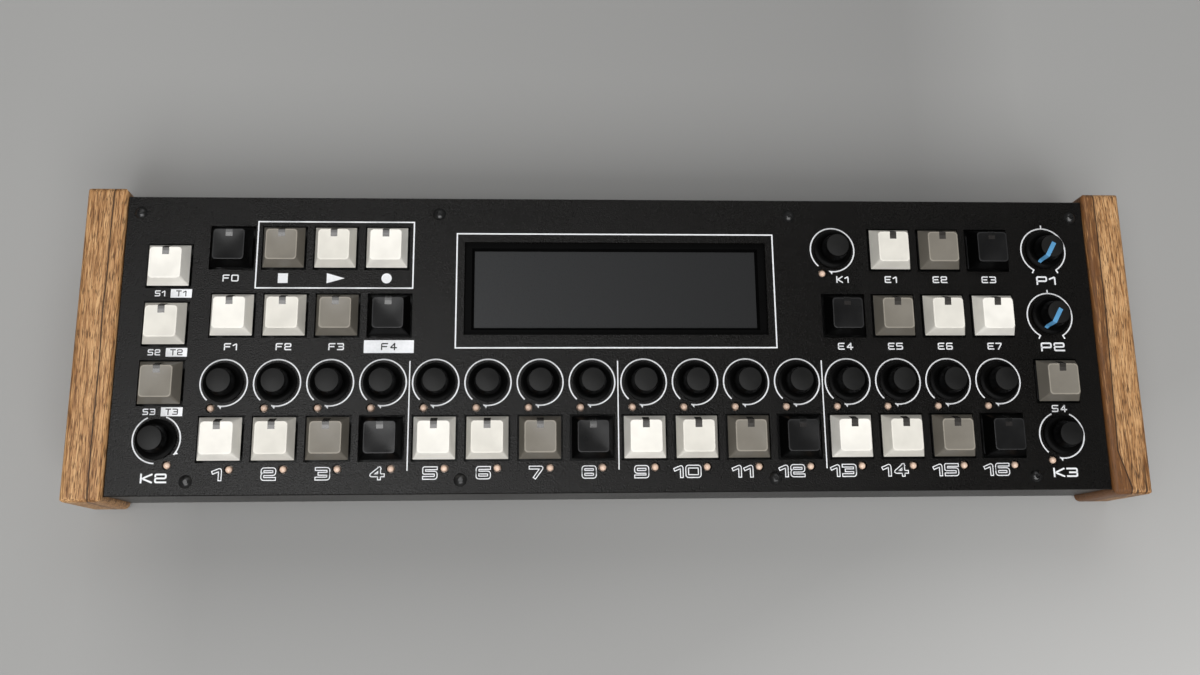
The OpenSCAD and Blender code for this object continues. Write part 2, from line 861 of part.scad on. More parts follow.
module knob_at(place, low = shaft_bottom) {
    on_panel()
        translate([place.x, place.y, 0])
            knob(low);
}

module pot_knob_at(place) {
    on_panel()
        translate([place.x, place.y, 0])
            rotate([0, 0, -pot_rest])
                knob(shaft_bottom, true);
}

module value_knob() {
    knob_at(value_knob_at, push_rod_bottom + push_rod_h + push_rod_gap);
}

// The rod that the value knob's shaft presses on a contact under it
module value_push_rod() {
    color("gold")
    on_panel()
        translate([value_knob_at.x, value_knob_at.y, 0])
            rod(push_rod_d, push_rod_bottom, push_rod_bottom + push_rod_h);
}

// Round-topped lamps, each on its foot
module lamps() {
    color("bisque")
    on_panel()
        at_each(lamps_at) {
            rod(lamp_foot_d, -board_drop, lamp_foot_top);
            rod(lamp_d, lamp_foot_top, lamp_shoulder);
            translate([0, 0, lamp_shoulder])
                intersection() {
                    sphere(d = lamp_d);
                    rod(lamp_d, 0, lamp_d);
                }
        }
}

// Glass and board of the display, on four spacers
module display_module() {
    glass_top = -panel_t - frame_t;
    board_top = glass_top - glass_t;
    on_panel()
        translate([0, display_v, 0]) {
            color("dimgray")
                block(window_x, window_y, board_top + seat_gap, glass_top);
            color("darkslategray")
                block(display_board_x, display_board_y, board_top - board_t, board_top);
            color("silver")
            for (x = [-1, 1], y = [-1, 1])
                translate([x * (display_board_x - spacer_d) / 2, y * (display_board_y - spacer_d) / 2, 0])
                    rod(spacer_d, -board_drop, board_top - board_t - seat_gap);
        }
}

// The black frame between the panel's cut-out and the glass, with a sloped inner edge
module display_frame() {
    color(black)
    on_panel()
        translate([0, display_v, 0])
            difference() {
                block(window_x + 2 * frame_lap, window_y + 2 * frame_lap, -panel_t - frame_t, -panel_t);
                sloped_opening(window_x - 2 * frame_side, window_y - 2 * frame_end);
            }
}

module sloped_opening(size_x, size_y) {
    intersection() {
        rotate([90, 0, 0])
            linear_extrude(2 * size_y, center = true)
                polygon(opening_section(size_x));
        across(2 * size_x)
            polygon(opening_section(size_y));
    }
}

function opening_section(width) = let (
    low = -panel_t - frame_t - over,
    high = -panel_t + over) [
    [-width / 2 + over, low],
    [width / 2 - over, low],
    [width / 2 + high + panel_t + frame_t - over, high],
    [-width / 2 - high - panel_t - frame_t + over, high]];

// The board behind the rear sockets, on spacers, with the ribbon cable's other connector
module interface_board() {
    color("darkslategray") {
        translate([0, io_back - io_depth / 2, 0])
            block(io_w, io_depth, io_z, io_top);
        for (x = [-1, 0, 1], y = [io_back - spacer_d, io_back - io_depth + spacer_d])
            translate([x * (io_w / 2 - spacer_d), y, 0])
                rod(spacer_d, floor_z, io_z - seat_gap);
        translate([0, ribbon_end_y(), 0])
            header(io_top + seat_gap, io_top + header_h);
    }
}

// The sockets in the back wall
module rear_sockets() {
    color(black) {
        for (x = din_at)
            translate([x, wall_back + socket_reach, din_z])
                rotate([90, 0, 0])
                    din_socket();
        translate([usb_x, wall_back + socket_reach, io_top + usb_h / 2])
            rotate([90, 0, 0])
                usb_socket();
        translate([inlet_x, wall_back + socket_reach, io_top + inlet_h / 2])
            rotate([90, 0, 0])
                power_inlet();
    }
}

// A round five-pin socket: a cup and the contact insert in it; Z points into the case
module din_socket() {
    inside = socket_reach + sheet_t + socket_gap;
    difference() {
        union() {
            rod(din_nose_d, 0, inside + over);
            block(din_w, din_h, inside, inside + din_depth);
        }
        rod(din_groove_d, -over, cup_depth);
    }
    difference() {
        rod(din_groove_d - 2 * din_groove_w, insert_sink, cup_depth - seat_gap);
        for (k = [0:pin_count - 1])
            rotate([0, 0, pin_step * k])
                translate([pin_ring_d / 2, 0, 0])
                    rod(pin_hole_d, -over, cup_depth - over);
    }
}

module usb_socket() {
    difference() {
        block(usb_w, usb_h, 0, usb_depth);
        difference() {
            block(usb_mouth.x, usb_mouth.y, -over, usb_cavity);
            block(usb_tongue.x, usb_tongue.y, over, usb_cavity + over);
        }
    }
}

module power_inlet() {
    difference() {
        block(inlet_w, inlet_h, 0, inlet_depth);
        difference() {
            rod(inlet_bore, -over, inlet_depth - inlet_back_t);
            rod(inlet_pin, over, inlet_depth);
        }
    }
}

// The flat cable between the two boards: down, back and down again in two bends
function ribbon_start() = let (
    drop = board_drop + board_t + header_h) [
    panel_y + ribbon_v * cos(panel_tilt) + drop * sin(panel_tilt),
    panel_z + ribbon_v * sin(panel_tilt) - drop * cos(panel_tilt)];
function ribbon_low() = io_top + header_h + ribbon_gap;
function ribbon_r() = ribbon_bend * (ribbon_start().y - ribbon_gap - ribbon_low());
function ribbon_end_y() = io_back - io_depth + io_header_inset;

module ribbon_cable() {
    color("slategray")
    across(ribbon_w)
        polygon(concat(ribbon_edge(-ribbon_t / 2), reverse(ribbon_edge(ribbon_t / 2))));
}

function reverse(points) = [for (k = [len(points) - 1:-1:0]) points[k]];

// One edge of the cable's side-on outline, a distance off to the side of its centre line
function ribbon_edge(off) = let (
    top = ribbon_start().y - ribbon_gap - abs(off) * tan(panel_tilt),
    bottom = ribbon_low(),
    middle = (top + bottom) / 2,
    bend_r = ribbon_r(),
    first_y = ribbon_start().x,
    last_y = ribbon_end_y(),
    steps = 8) concat(
    [[first_y + off, top]],
    [for (k = [0:steps]) let (a = 180 + 90 * k / steps, r = bend_r - off)
        [first_y + bend_r + r * cos(a), middle + bend_r + r * sin(a)]],
    [for (k = [0:steps]) let (a = 90 - 90 * k / steps, r = bend_r + off)
        [last_y - bend_r + r * cos(a), middle - bend_r + r * sin(a)]],
    [[last_y + off, bottom]]);

base_tray();
top_panel();
left_cheek();
right_cheek();
case_screws();
rubber_feet();
control_board();
key_switches();
encoder_bodies();
lamps();
display_module();
display_frame();
interface_board();
rear_sockets();
ribbon_cable();
for (i = [0:step_columns - 1])
    keys([step_key_at[i]], [cap_colours[i % 4]]);
keys(side_keys_at, [white, light, taupe]);  // side_keys
keys(shift_key_at, [black]);  // shift_key
keys(transport_keys_at, [taupe, light, white]);  // transport_keys
keys(mode_keys_at, cap_colours);  // mode_keys
keys(upper_edit_keys_at, [light, taupe, black]);  // upper_edit_keys
keys(lower_edit_keys_at, [black, taupe, light, white]);  // lower_edit_keys
keys(gang_key_at, [taupe]);  // gang_key
for (i = [0:step_columns - 1])
    knob_at(step_knob_at[i]);
knob_at(row_knob_at);  // row_knob
knob_at(bar_knob_at);  // bar_knob
value_knob();
value_push_rod();
pot_knob_at(pot_a_at);  // pot_knob_a
pot_knob_at(pot_b_at);  // pot_knob_b
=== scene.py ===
"""Looks of a desktop step sequencer: smooth keycaps and knobs, white panel print, lamps, wood and paint."""
import json
import math

import bmesh
import bpy
from mathutils import Euler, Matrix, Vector


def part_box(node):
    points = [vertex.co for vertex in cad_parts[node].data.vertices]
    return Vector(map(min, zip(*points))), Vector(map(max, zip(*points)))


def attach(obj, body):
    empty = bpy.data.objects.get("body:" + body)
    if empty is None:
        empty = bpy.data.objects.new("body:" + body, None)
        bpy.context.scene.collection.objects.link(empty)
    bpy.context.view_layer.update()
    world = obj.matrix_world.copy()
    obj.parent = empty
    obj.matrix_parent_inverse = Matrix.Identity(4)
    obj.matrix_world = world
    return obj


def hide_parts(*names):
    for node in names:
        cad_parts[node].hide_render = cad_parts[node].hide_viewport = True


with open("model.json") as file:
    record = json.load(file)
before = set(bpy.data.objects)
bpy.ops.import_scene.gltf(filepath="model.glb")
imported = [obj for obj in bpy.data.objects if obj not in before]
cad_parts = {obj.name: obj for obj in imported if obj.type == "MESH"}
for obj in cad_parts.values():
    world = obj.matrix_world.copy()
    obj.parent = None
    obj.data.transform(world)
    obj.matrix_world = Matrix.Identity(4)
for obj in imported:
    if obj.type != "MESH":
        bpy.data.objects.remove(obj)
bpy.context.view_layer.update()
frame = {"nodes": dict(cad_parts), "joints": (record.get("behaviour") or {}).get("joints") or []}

scene = bpy.context.scene
MM = 0.001

# Panel frame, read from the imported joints: u to the right, v to the back, w up from the top face
joints = {joint["name"]: joint for joint in frame["joints"]}
PANEL_UP = -Vector(joints["row_knob_turn"]["axis"]).normalized()
PANEL_BACK = Vector((0, PANEL_UP.z, -PANEL_UP.y))
PANEL_TILT = math.atan2(-PANEL_UP.y, PANEL_UP.z)
PANEL_T = 2.0
panel_low, panel_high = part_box("top_panel")
middle_y = (panel_low.y + panel_high.y - PANEL_T * MM * math.sin(PANEL_TILT)) / 2
on_plane = Vector(joints["row_knob_turn"]["pos_m"])
PANEL_MIDDLE = Vector((0, middle_y, on_plane.z + (middle_y - on_plane.y) * math.tan(PANEL_TILT)))


def on_panel(u, v, w=0.0):
    """World point of a place on the panel, given in millimetres."""
    return PANEL_MIDDLE + MM * (Vector((u, 0, 0)) + v * PANEL_BACK + w * PANEL_UP)


def knob_place(name):
    """Panel place of a knob, from its joint."""
    off = (Vector(joints[name + "_turn"]["pos_m"]) - PANEL_MIDDLE) / MM
    return off.x, off.dot(PANEL_BACK)


# Rows and columns of the controls
STEP_KNOBS = [knob_place(f"step_knob_{i}") for i in range(1, 17)]
COLUMNS = [u for u, v in STEP_KNOBS]
ROW_ENCODER = STEP_KNOBS[0][1]
ROW_STEP = knob_place("row_knob")[1]
ROW_MODE = knob_place("pot_knob_b")[1]
SIDE_U, ROW_UPPER = knob_place("pot_knob_a")
SIDE_KEY_RISE = 26.0
mode_low, mode_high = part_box("mode_keys")
MODE_SHIFT = (mode_low.x + mode_high.x) / 2 / MM - sum(COLUMNS[:4]) / 4


def add_object(name, data):
    """A new object in the scene."""
    made = bpy.data.objects.new(name, data)
    scene.collection.objects.link(made)
    return made


def rectangle(u, v, width, height):
    """Corners of a rectangle round a place, counter-clockwise from the near left one."""
    x, y = width / 2, height / 2
    return [(u - x, v - y), (u + x, v - y), (u + x, v + y), (u - x, v + y)]


def rounded(start, corner, end, t):
    """Point at share t of the short curve that rounds a corner."""
    return tuple((1 - t) ** 2 * a + 2 * t * (1 - t) * c + t * t * b for a, c, b in zip(start, corner, end))


class Value:
    """One output of a material's nodes; arithmetic on it adds Math nodes."""

    def __init__(self, finish, socket):
        self.finish = finish
        self.socket = socket

    def math(self, operation, first, second=0.0):
        return self.finish.node("ShaderNodeMath", {"operation": operation}, {0: first, 1: second})

    def __add__(self, other):
        return self.math("ADD", self, other)

    __radd__ = __add__

    def __sub__(self, other):
        return self.math("SUBTRACT", self, other)

    def __rsub__(self, other):
        return self.math("SUBTRACT", other, self)

    def __mul__(self, other):
        return self.math("MULTIPLY", self, other)

    __rmul__ = __mul__

    def __abs__(self):
        return self.math("ABSOLUTE", self)


class Finish:
    """A procedural material round one Principled shader; fixed values go straight on its sockets."""

    def __init__(self, name, **fixed):
        self.material = bpy.data.materials.new(name)
        self.material.use_nodes = True
        self.tree = self.material.node_tree
        self.shader = self.tree.nodes["Principled BSDF"]
        for socket, value in fixed.items():
            self.feed(socket.replace("_", " ").title().replace("Ior", "IOR"), value)
        self.place = self.node("ShaderNodeTexCoord", output="Object")

    def node(self, kind, settings=None, inputs=None, output=0):
        """One output of a new node, its settings made first and then its sockets."""
        made = self.tree.nodes.new(kind)
        for key, value in (settings or {}).items():
            if key == "stops":
                self.set_stops(made.color_ramp, value)
            else:
                setattr(made, key, value)
        for key, value in (inputs or {}).items():
            self.put(made.inputs[key], value)
        return Value(self, made.outputs[output])

    @staticmethod
    def set_stops(ramp, stops):
        while len(ramp.elements) < len(stops):
            ramp.elements.new(0.5)
        for element, (position, colour) in zip(ramp.elements, stops):
            element.position = position
            element.color = (*colour, 1.0)

    def put(self, socket, value):
        if isinstance(value, Value):
            self.tree.links.new(value.socket, socket)
        elif isinstance(value, tuple) and len(value) == 3 and socket.type == "RGBA":
            socket.default_value = (*value, 1.0)
        else:
            socket.default_value = value

    def feed(self, socket, value):
        self.put(self.shader.inputs[socket], value)

    def axes(self):
        """The place along X, Y and Z, in metres."""
        split = self.node("ShaderNodeSeparateXYZ", None, {0: self.place})
        return [Value(self, output) for output in split.socket.node.outputs]

    def vector(self, x, y, z):
        return self.node("ShaderNodeCombineXYZ", None, {0: x, 1: y, 2: z})

    def noise(self, scale, detail, at=None):
        where = self.place if at is None else at
        return self.node("ShaderNodeTexNoise", None, {"Vector": where, "Scale": scale, "Detail": detail})

    def between(self, value, low, high, from_low=0.0, from_high=1.0):
        """A number that goes from low to high while a value goes through its own range."""
        return self.node("ShaderNodeMapRange", {"clamp": True},
                         {"Value": value, "From Min": from_low, "From Max": from_high,
                          "To Min": low, "To Max": high})

    def vary(self, noise, low, high):
        """A number from low to high that follows a noise over the range it mostly keeps to."""
        return self.between(noise, low, high, 0.3, 0.7)

    def blend(self, factor, first, second):
        return self.node("ShaderNodeMix", {"data_type": "RGBA"}, {0: factor, 6: first, 7: second}, 2)

    def mottle(self, noise, first, second, reach=0.15):
        """Two colours mixed by a noise, within this reach of its middle."""
        return self.blend(self.between(noise, 0, 1, 0.5 - reach, 0.5 + reach), first, second)

    def bump(self, height, strength, distance):
        normal = self.node("ShaderNodeBump", None,
                           {"Height": height, "Strength": strength, "Distance": distance})
        self.feed("Normal", normal)


def shade(colour, factor):
    """A colour made darker or paler."""
    return tuple(channel * factor for channel in colour)


def grey(level):
    return (level, level, level)


def powder_coat(name, colour, gloss, shine):
    """Black powder coat: a fine pebbled skin with slow changes of sheen."""
    finish = Finish(name, specular_ior_level=shine)
    grain = finish.noise(1700, 3)
    cloud = finish.noise(14, 2)
    finish.feed("Base Color", finish.mottle(grain, shade(colour, 0.4), shade(colour, 1.6)))
    finish.feed("Roughness", finish.vary(cloud, gloss - 0.07, gloss + 0.01) + 0.12 * grain)
    finish.bump(grain, 0.8, 0.0002)
    return finish.material


def cap_plastic(name, colour, gloss, shine):
    """Moulded cap plastic with a very fine grain and slow changes of sheen."""
    finish = Finish(name, specular_ior_level=shine)
    grain = finish.noise(2600, 2)
    cloud = finish.noise(120, 2)
    finish.feed("Base Color", finish.mottle(cloud, shade(colour, 0.95), shade(colour, 1.04)))
    finish.feed("Roughness", finish.vary(cloud, gloss - 0.04, gloss + 0.06))
    finish.bump(grain, 0.12, 0.0001)
    return finish.material


def satin_plastic(name, colour, gloss, bump=0.12, shine=0.5):
    """Moulded plastic, oxide or rubber with a fine sparkle grain."""
    finish = Finish(name, specular_ior_level=shine)
    grain = finish.noise(3000, 2)
    cloud = finish.noise(90, 3)
    finish.feed("Base Color", finish.mottle(cloud, shade(colour, 0.8), shade(colour, 1.25), 0.2))
    finish.feed("Roughness", finish.vary(cloud, gloss - 0.05, gloss + 0.07))
    finish.bump(grain, bump, 0.0001)
    return finish.material


def smoked_window(name, colour, shine=0.4):
    """Smoky clear plastic over the unlit lamp inside a cap."""
    finish = Finish(name, specular_ior_level=shine)
    streak = finish.noise(900, 2)
    finish.feed("Base Color", finish.mottle(streak, shade(colour, 0.88), shade(colour, 1.1), 0.2))
    finish.feed("Roughness", finish.vary(streak, 0.15, 0.25))
    return finish.material


# Wood of the cheeks: its colours, where the seam runs, and the front stretch where the right one splits
WOOD_TONES = [(0.34, (0.152, 0.062, 0.019)), (0.45, (0.335, 0.166, 0.062)),
              (0.53, (0.468, 0.252, 0.106)), (0.68, (0.624, 0.373, 0.175))]
WOOD_DARK = (0.060, 0.028, 0.011)
SEAM_SHARE = 0.335
cheek_low, cheek_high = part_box("right_cheek")
SEAM_X = cheek_low.x + SEAM_SHARE * (cheek_high.x - cheek_low.x)
SEAM_LEAN = 0.0125
SEAM_SHIFT = 0.0014
SEAM_SWING = 0.0045
SPLIT_Y = (-0.066, -0.05)


def oiled_wood():
    """Mid-brown wood along Y: slow bands, fine streaks, dark pores and one dark seam line."""
    finish = Finish("oiled_wood", specular_ior_level=0.3)
    x, y, z = finish.axes()
    side = finish.node("ShaderNodeMath", {"operation": "SIGN"}, {0: x})
    right = 0.5 + 0.5 * side
    across = abs(x)
    along = y + 0.37 * side
    sway = finish.noise(1.0, 2, finish.vector(across * 26, along * 14, z * 26)) - 0.5
    wavy = across + 0.0035 * sway
    bands = finish.noise(1.0, 3, finish.vector(wavy * 260, along * 6, z * 200))
    streaks = finish.noise(1.0, 4, finish.vector(wavy * 1800, along * 65, z * 1400))
    pores = finish.noise(1.0, 2, finish.vector(wavy * 2900, along * 200, z * 2300))
    swing = finish.between(y, SEAM_SWING, 0, *SPLIT_Y)
    seam_from = across - SEAM_X + right * (SEAM_SHIFT - SEAM_LEAN * y - swing) + 0.003 * sway
    inner = finish.between(seam_from, 1, 0, -0.0004, 0.0004)
    # The right cheek grows darker towards its front end.
    darker_to_front = finish.between(y, 0.085, 0, -0.066, -0.012)
    darker = inner * finish.between(y, 0.245, 0.185, 0.0, 0.055)
    tone = 0.45 * bands + 0.85 * streaks - 0.135 + right * (0.03 - darker_to_front - darker)
    body = finish.node("ShaderNodeValToRGB", {"stops": WOOD_TONES}, {"Fac": tone})
    pore = finish.between(pores, 0, 0.85, 0.53, 0.62)
    seam_off = abs(seam_from)
    seam = finish.between(seam_off, 0.95, 0, 0.00014, 0.00042)
    halo = finish.between(seam_off, 0.3, 0, 0.0002, 0.0018)
    front = finish.between(y, 1, 0, *SPLIT_Y)
    splits = finish.noise(1.0, 1, finish.vector(wavy * 330, along * 45, z * 60))
    split_line = finish.between(abs(splits - 0.5), 0.9, 0, 0.012, 0.045)
    crack = right * front * finish.between(seam_from, 0, 1, 0, 0.002) * split_line
    colour = finish.blend(halo, body, shade(WOOD_DARK, 2.4))
    colour = finish.blend(pore, colour, shade(WOOD_DARK, 1.5))
    colour = finish.blend(crack, colour, shade(WOOD_DARK, 0.6))
    finish.feed("Base Color", finish.blend(seam, colour, shade(WOOD_DARK, 0.45)))
    finish.feed("Roughness", finish.vary(streaks, 0.4, 0.56) + 0.15 * pore)
    finish.bump(streaks - 0.7 * pore - seam, 0.35, 0.0002)
    return finish.material


def peach_lamp():
    """Milky peach lamp, unlit."""
    finish = Finish("peach_lamp", specular_ior_level=0.5)
    cloud = finish.noise(900, 1)
    finish.feed("Base Color", finish.mottle(cloud, (0.72, 0.51, 0.385), (0.80, 0.60, 0.475), 0.2))
    finish.feed("Roughness", finish.vary(cloud, 0.22, 0.34))
    return finish.material


def screen_glass():
    """Unlit display: dark grey behind a smooth filter, painted a little paler to the left as a painted
    sheen.
    """
    finish = Finish("screen_glass", specular_ior_level=0.2)
    cells = finish.noise(2200, 1)
    # Painted sheen: the glass is paler on the left and darker to the right.
    slope = finish.between(finish.axes()[0], 0, 1, -0.064, 0.064)
    colour = finish.blend(slope, (0.030, 0.031, 0.032), (0.020, 0.0205, 0.021))
    cell = finish.between(cells, 0, 0.25, 0.4, 0.6)
    finish.feed("Base Color", finish.blend(cell, colour, (0.012, 0.012, 0.013)))
    finish.feed("Roughness", finish.vary(cells, 0.26, 0.32))
    return finish.material


def print_ink(name, colour):
    """Screen-printed ink: thin, matt, a touch uneven."""
    finish = Finish(name, specular_ior_level=0.35)
    cloud = finish.noise(800, 2)
    finish.feed("Base Color", finish.mottle(cloud, shade(colour, 0.93), colour))
    finish.feed("Roughness", finish.vary(cloud, 0.5, 0.62))
    return finish.material


def brushed_metal(name, colour):
    """Plated metal with fine turning marks."""
    finish = Finish(name, metallic=0.9)
    x, y, z = finish.axes()
    marks = finish.noise(1.0, 2, finish.vector(x * 500, y * 500, z * 4000))
    finish.feed("Base Color", finish.mottle(marks, shade(colour, 0.8), colour))
    finish.feed("Roughness", finish.vary(marks, 0.26, 0.4))
    return finish.material


def circuit_board():
    """Black solder mask with paler lines where the copper runs."""
    finish = Finish("circuit_board", specular_ior_level=0.5)
    x, y, z = finish.axes()
    runs = finish.noise(1.0, 1, finish.vector(x * 60, y * 600, z * 60))
    lines = finish.between(abs(runs - 0.5), 1, 0, 0.008, 0.02)
    finish.feed("Base Color", finish.blend(lines, (0.0035, 0.0038, 0.0036), (0.010, 0.011, 0.010)))
    finish.feed("Roughness", finish.vary(runs, 0.3, 0.42))
    return finish.material


WIRE_HALF_PITCH = 0.000635


def ribbed_cable():
    """Grey flat cable: one shallow rib per wire, with painted shade darkening the grooves between the ribs.
    """
    finish = Finish("ribbed_cable", specular_ior_level=0.4)
    across = {0: finish.axes()[0], 1: WIRE_HALF_PITCH}
    wire = finish.node("ShaderNodeMath", {"operation": "PINGPONG"}, across)
    rib = finish.between(wire, 0, 1, 0.0, WIRE_HALF_PITCH)
    # Painted shade: darker in the grooves, paler on the rib tops.
    finish.feed("Base Color", finish.blend(rib, (0.2, 0.21, 0.23), (0.36, 0.37, 0.39)))
    finish.feed("Roughness", 0.45 + 0.1 * rib)
    finish.bump(rib, 0.6, 0.0004)
    return finish.material


# Finishes; a cap's gloss is its roughness and its shine
INK_WHITE = (0.84, 0.85, 0.87)
INK_BLACK = (0.012, 0.012, 0.0125)
BLACK_PAINT = (0.0027, 0.0023, 0.0019)
CAP_COLOURS = {"white": (0.85, 0.825, 0.762), "light": (0.71, 0.685, 0.62),
               "taupe": (0.194, 0.177, 0.148), "black": (0.0060, 0.0060, 0.0062)}
CAP_GLOSS = {"white": (0.48, 0.3), "light": (0.48, 0.3), "taupe": (0.4, 0.35), "black": (0.3, 0.24)}
# The rim factors paint each cap's rounded top edge paler than the cap: a painted highlight.
CAP_RIM_HIGHLIGHT = {"white": 1.04, "light": 1.1, "taupe": 1.45, "black": 3.2}
# Taupe and black skirts are darker copies of the cap colour: painted shade on the cap sides.
TAUPE_SKIRT_SHADE = shade(CAP_COLOURS["taupe"], 0.8)
BLACK_SKIRT_SHADE = grey(0.0012)
BLACK_SKIRT_GLOSS = (0.4, 0.05)
WINDOW_DARK = {"white": (0.036, 0.033, 0.030), "light": (0.036, 0.033, 0.030),
               "taupe": (0.030, 0.027, 0.024), "black": grey(0.006)}
WINDOW_LAMP = {"white": (0.046, 0.042, 0.038), "light": (0.046, 0.042, 0.038),
               "taupe": (0.044, 0.040, 0.036), "black": (0.014, 0.012, 0.011)}
WINDOW_LAMP_SHINE = 0.7
panel_paint = powder_coat("panel_paint", BLACK_PAINT, 0.25, 0.205)
case_paint = powder_coat("case_paint", BLACK_PAINT, 0.3, 0.24)
white_ink = print_ink("white_ink", INK_WHITE)
black_ink = print_ink("black_ink", INK_BLACK)
cap_finish = {key: cap_plastic("cap_" + key, colour, *CAP_GLOSS[key])
              for key, colour in CAP_COLOURS.items()}
shaded_skirt_finish = {**cap_finish,
                "taupe": cap_plastic("cap_skirt_taupe_shaded", TAUPE_SKIRT_SHADE, *CAP_GLOSS["taupe"]),
                "black": cap_plastic("cap_skirt_black_shaded", BLACK_SKIRT_SHADE, *BLACK_SKIRT_GLOSS)}
# Paler copies of the cap plastic for the top edge, a painted highlight.
rim_highlight_finish = {key: cap_plastic("cap_rim_" + key, shade(colour, CAP_RIM_HIGHLIGHT[key]), *CAP_GLOSS[key])
              for key, colour in CAP_COLOURS.items()}
window_finish = {key: smoked_window("smoked_window_" + key, colour) for key, colour in WINDOW_DARK.items()}
window_lamp = {key: smoked_window("window_lamp_" + key, colour, WINDOW_LAMP_SHINE)
               for key, colour in WINDOW_LAMP.items()}
stem_finish = satin_plastic("stem_plastic", (0.09, 0.04, 0.018), 0.45)
# Knob sides are painted near black as painted shade, and the top disc a paler grey as a painted sheen.
knob_finish = satin_plastic("knob_plastic", grey(0.0011), 0.38, shine=0.05)
knob_top_finish = satin_plastic("knob_top", (0.0085, 0.0085, 0.0083), 0.42, shine=0.16)
pointer_finish = satin_plastic("pointer_blue", (0.085, 0.27, 0.48), 0.42, shine=0.3)
shaft_finish = brushed_metal("plated_metal", (0.62, 0.61, 0.58))
lamp_finish = peach_lamp()
node_finish = {
    "base_tray": case_paint,
    "top_panel": panel_paint,
    "left_cheek": oiled_wood(),
    "case_screws": satin_plastic("black_oxide", grey(0.006), 0.26),
    "rubber_feet": satin_plastic("foot_rubber", grey(0.014), 0.7, 0.3),
    "control_board": circuit_board(),
    "key_switches": satin_plastic("switch_plastic", grey(0.012), 0.42),
    "encoder_bodies": shaft_finish,
    "display_module": screen_glass(),
    "display_frame": satin_plastic("frame_plastic", grey(0.0012), 0.5, shine=0.04),
    "rear_sockets": satin_plastic("socket_plastic", grey(0.011), 0.46),
    "ribbon_cable": ribbed_cable(),
    "value_push_rod": brushed_metal("brass_rod", (0.62, 0.45, 0.2)),
}
node_finish["right_cheek"] = node_finish["left_cheek"]
node_finish["interface_board"] = node_finish["control_board"]
for name, material in node_finish.items():
    mesh = frame["nodes"][name].data
    mesh.materials.clear()
    mesh.materials.append(material)


class Shape:
    """Collects faces in the panel's millimetres, turned and moved to one place, for one mesh object."""

    def __init__(self, u=0.0, v=0.0, turn=0.0):
        self.points, self.faces, self.marks = [], [], []
        self.u, self.v = u, v
        self.cos, self.sin = math.cos(turn), math.sin(turn)

    def ring(self, places):
        """Adds points and gives their numbers."""
        first = len(self.points)
        for x, y, w in places:
            self.points.append(on_panel(self.u + x * self.cos - y * self.sin,
                                        self.v + x * self.sin + y * self.cos, w))
        return list(range(first, first + len(places)))

    def face(self, corners, mark=0):
        """One face; its mark is the number of its finish."""
        self.faces.append(corners)
        self.marks.append(mark)

    def skin(self, low, high, mark=0):
        count = len(low)
        for k in range(count):
            n = (k + 1) % count
            self.face((low[k], low[n], high[n], high[k]), mark)

    def run(self, sections, mark=0):
        """Joins sections one to the next and closes both ends."""
        for low, high in zip(sections, sections[1:]):
            self.skin(low, high, mark)
        self.face(tuple(reversed(sections[0])), mark)
        self.face(tuple(sections[-1]), mark)

    def lathe(self, rings, marks):
        """Joins rings one to the next, each band with its mark; a ring of one place closes an end."""
        made = [self.ring(places) for places in rings]
        for low, high, mark in zip(made, made[1:], marks):
            if len(low) == 1:
                self.cap_end(high, low[0], mark, True)
            elif len(high) == 1:
                self.cap_end(low, high[0], mark, False)
            else:
                self.skin(low, high, mark)

    def cap_end(self, ring, tip, mark, below):
        count = len(ring)
        for k in range(count):
            n = (k + 1) % count
            self.face((tip, ring[n], ring[k]) if below else (ring[k], ring[n], tip), mark)

    def plate(self, outline, low, high, mark=0):
        """A flat piece with the given outline, counter-clockwise from above."""
        bottom = self.ring([(x, y, low) for x, y in outline])
        top = self.ring([(x, y, high) for x, y in outline])
        self.skin(bottom, top, mark)
        self.face(tuple(top), mark)
        self.face(tuple(reversed(bottom)), mark)

    def strip(self, path, half_width, thickness, mark=0):
        """A bent strip: path gives (place across, height, outward direction) along v and w."""
        sections = []
        for y, w, (ny, nw) in path:
            sections.append(self.ring([(-half_width, y, w), (half_width, y, w),
                                       (half_width, y - ny * thickness, w - nw * thickness),
                                       (-half_width, y - ny * thickness, w - nw * thickness)]))
        self.run(sections, mark)

    def build(self, name, materials, smooth_angle=None):
        """The mesh object, faces outwards; edges flatter than the angle are shaded smooth."""
        mesh = bpy.data.meshes.new(name)
        mesh.from_pydata(self.points, [], self.faces)
        for material in materials:
            mesh.materials.append(material)
        mesh.polygons.foreach_set("material_index", self.marks)
        work = bmesh.new()
        work.from_mesh(mesh)
        bmesh.ops.recalc_face_normals(work, faces=work.faces)
        if smooth_angle is not None:
            for face in work.faces:
                face.smooth = True
            for edge in work.edges:
                edge.smooth = not edge.is_manifold or edge.calc_face_angle() < smooth_angle
        work.to_mesh(mesh)
        work.free()
        return add_object(name, mesh)


def settle(piece, body, slot, *nodes):
    """Says which body a piece rides on and hides the nodes it stands for; the slot is not used."""
    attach(piece, body)
    if nodes:
        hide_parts(*nodes)


# Keycaps, in millimetres, and the numbers of a cap's finishes
CAP_BASE = 18.4
CAP_TOP = 13.8
CAP_LIFT = 1.0
CAP_H = 7.6
CAP_WALL = 1.5
CAP_DISH = 0.5
CAP_EDGE = 0.36
CAP_CHAMFER = 0.18
SKIRT_DRAFT = 0.05
SLOPE_START = 0.5
RIM_DIP = 0.06
RIM_SLACK = 0.25
SKIRT_CORNER = 0.25
TOP_CORNER = 1.6
WINDOW_W = 3.0
WINDOW_LEN = 3.3
WINDOW_LAMP_LEN = 1.7
WINDOW_FLOOR = 2.0
WINDOW_T = 0.5
WINDOW_PROUD = 0.05
STEM_SIZE = (7.0, 5.8)
STEM_ENDS = (-4.6, 1.4)
SMOOTH = math.radians(38)
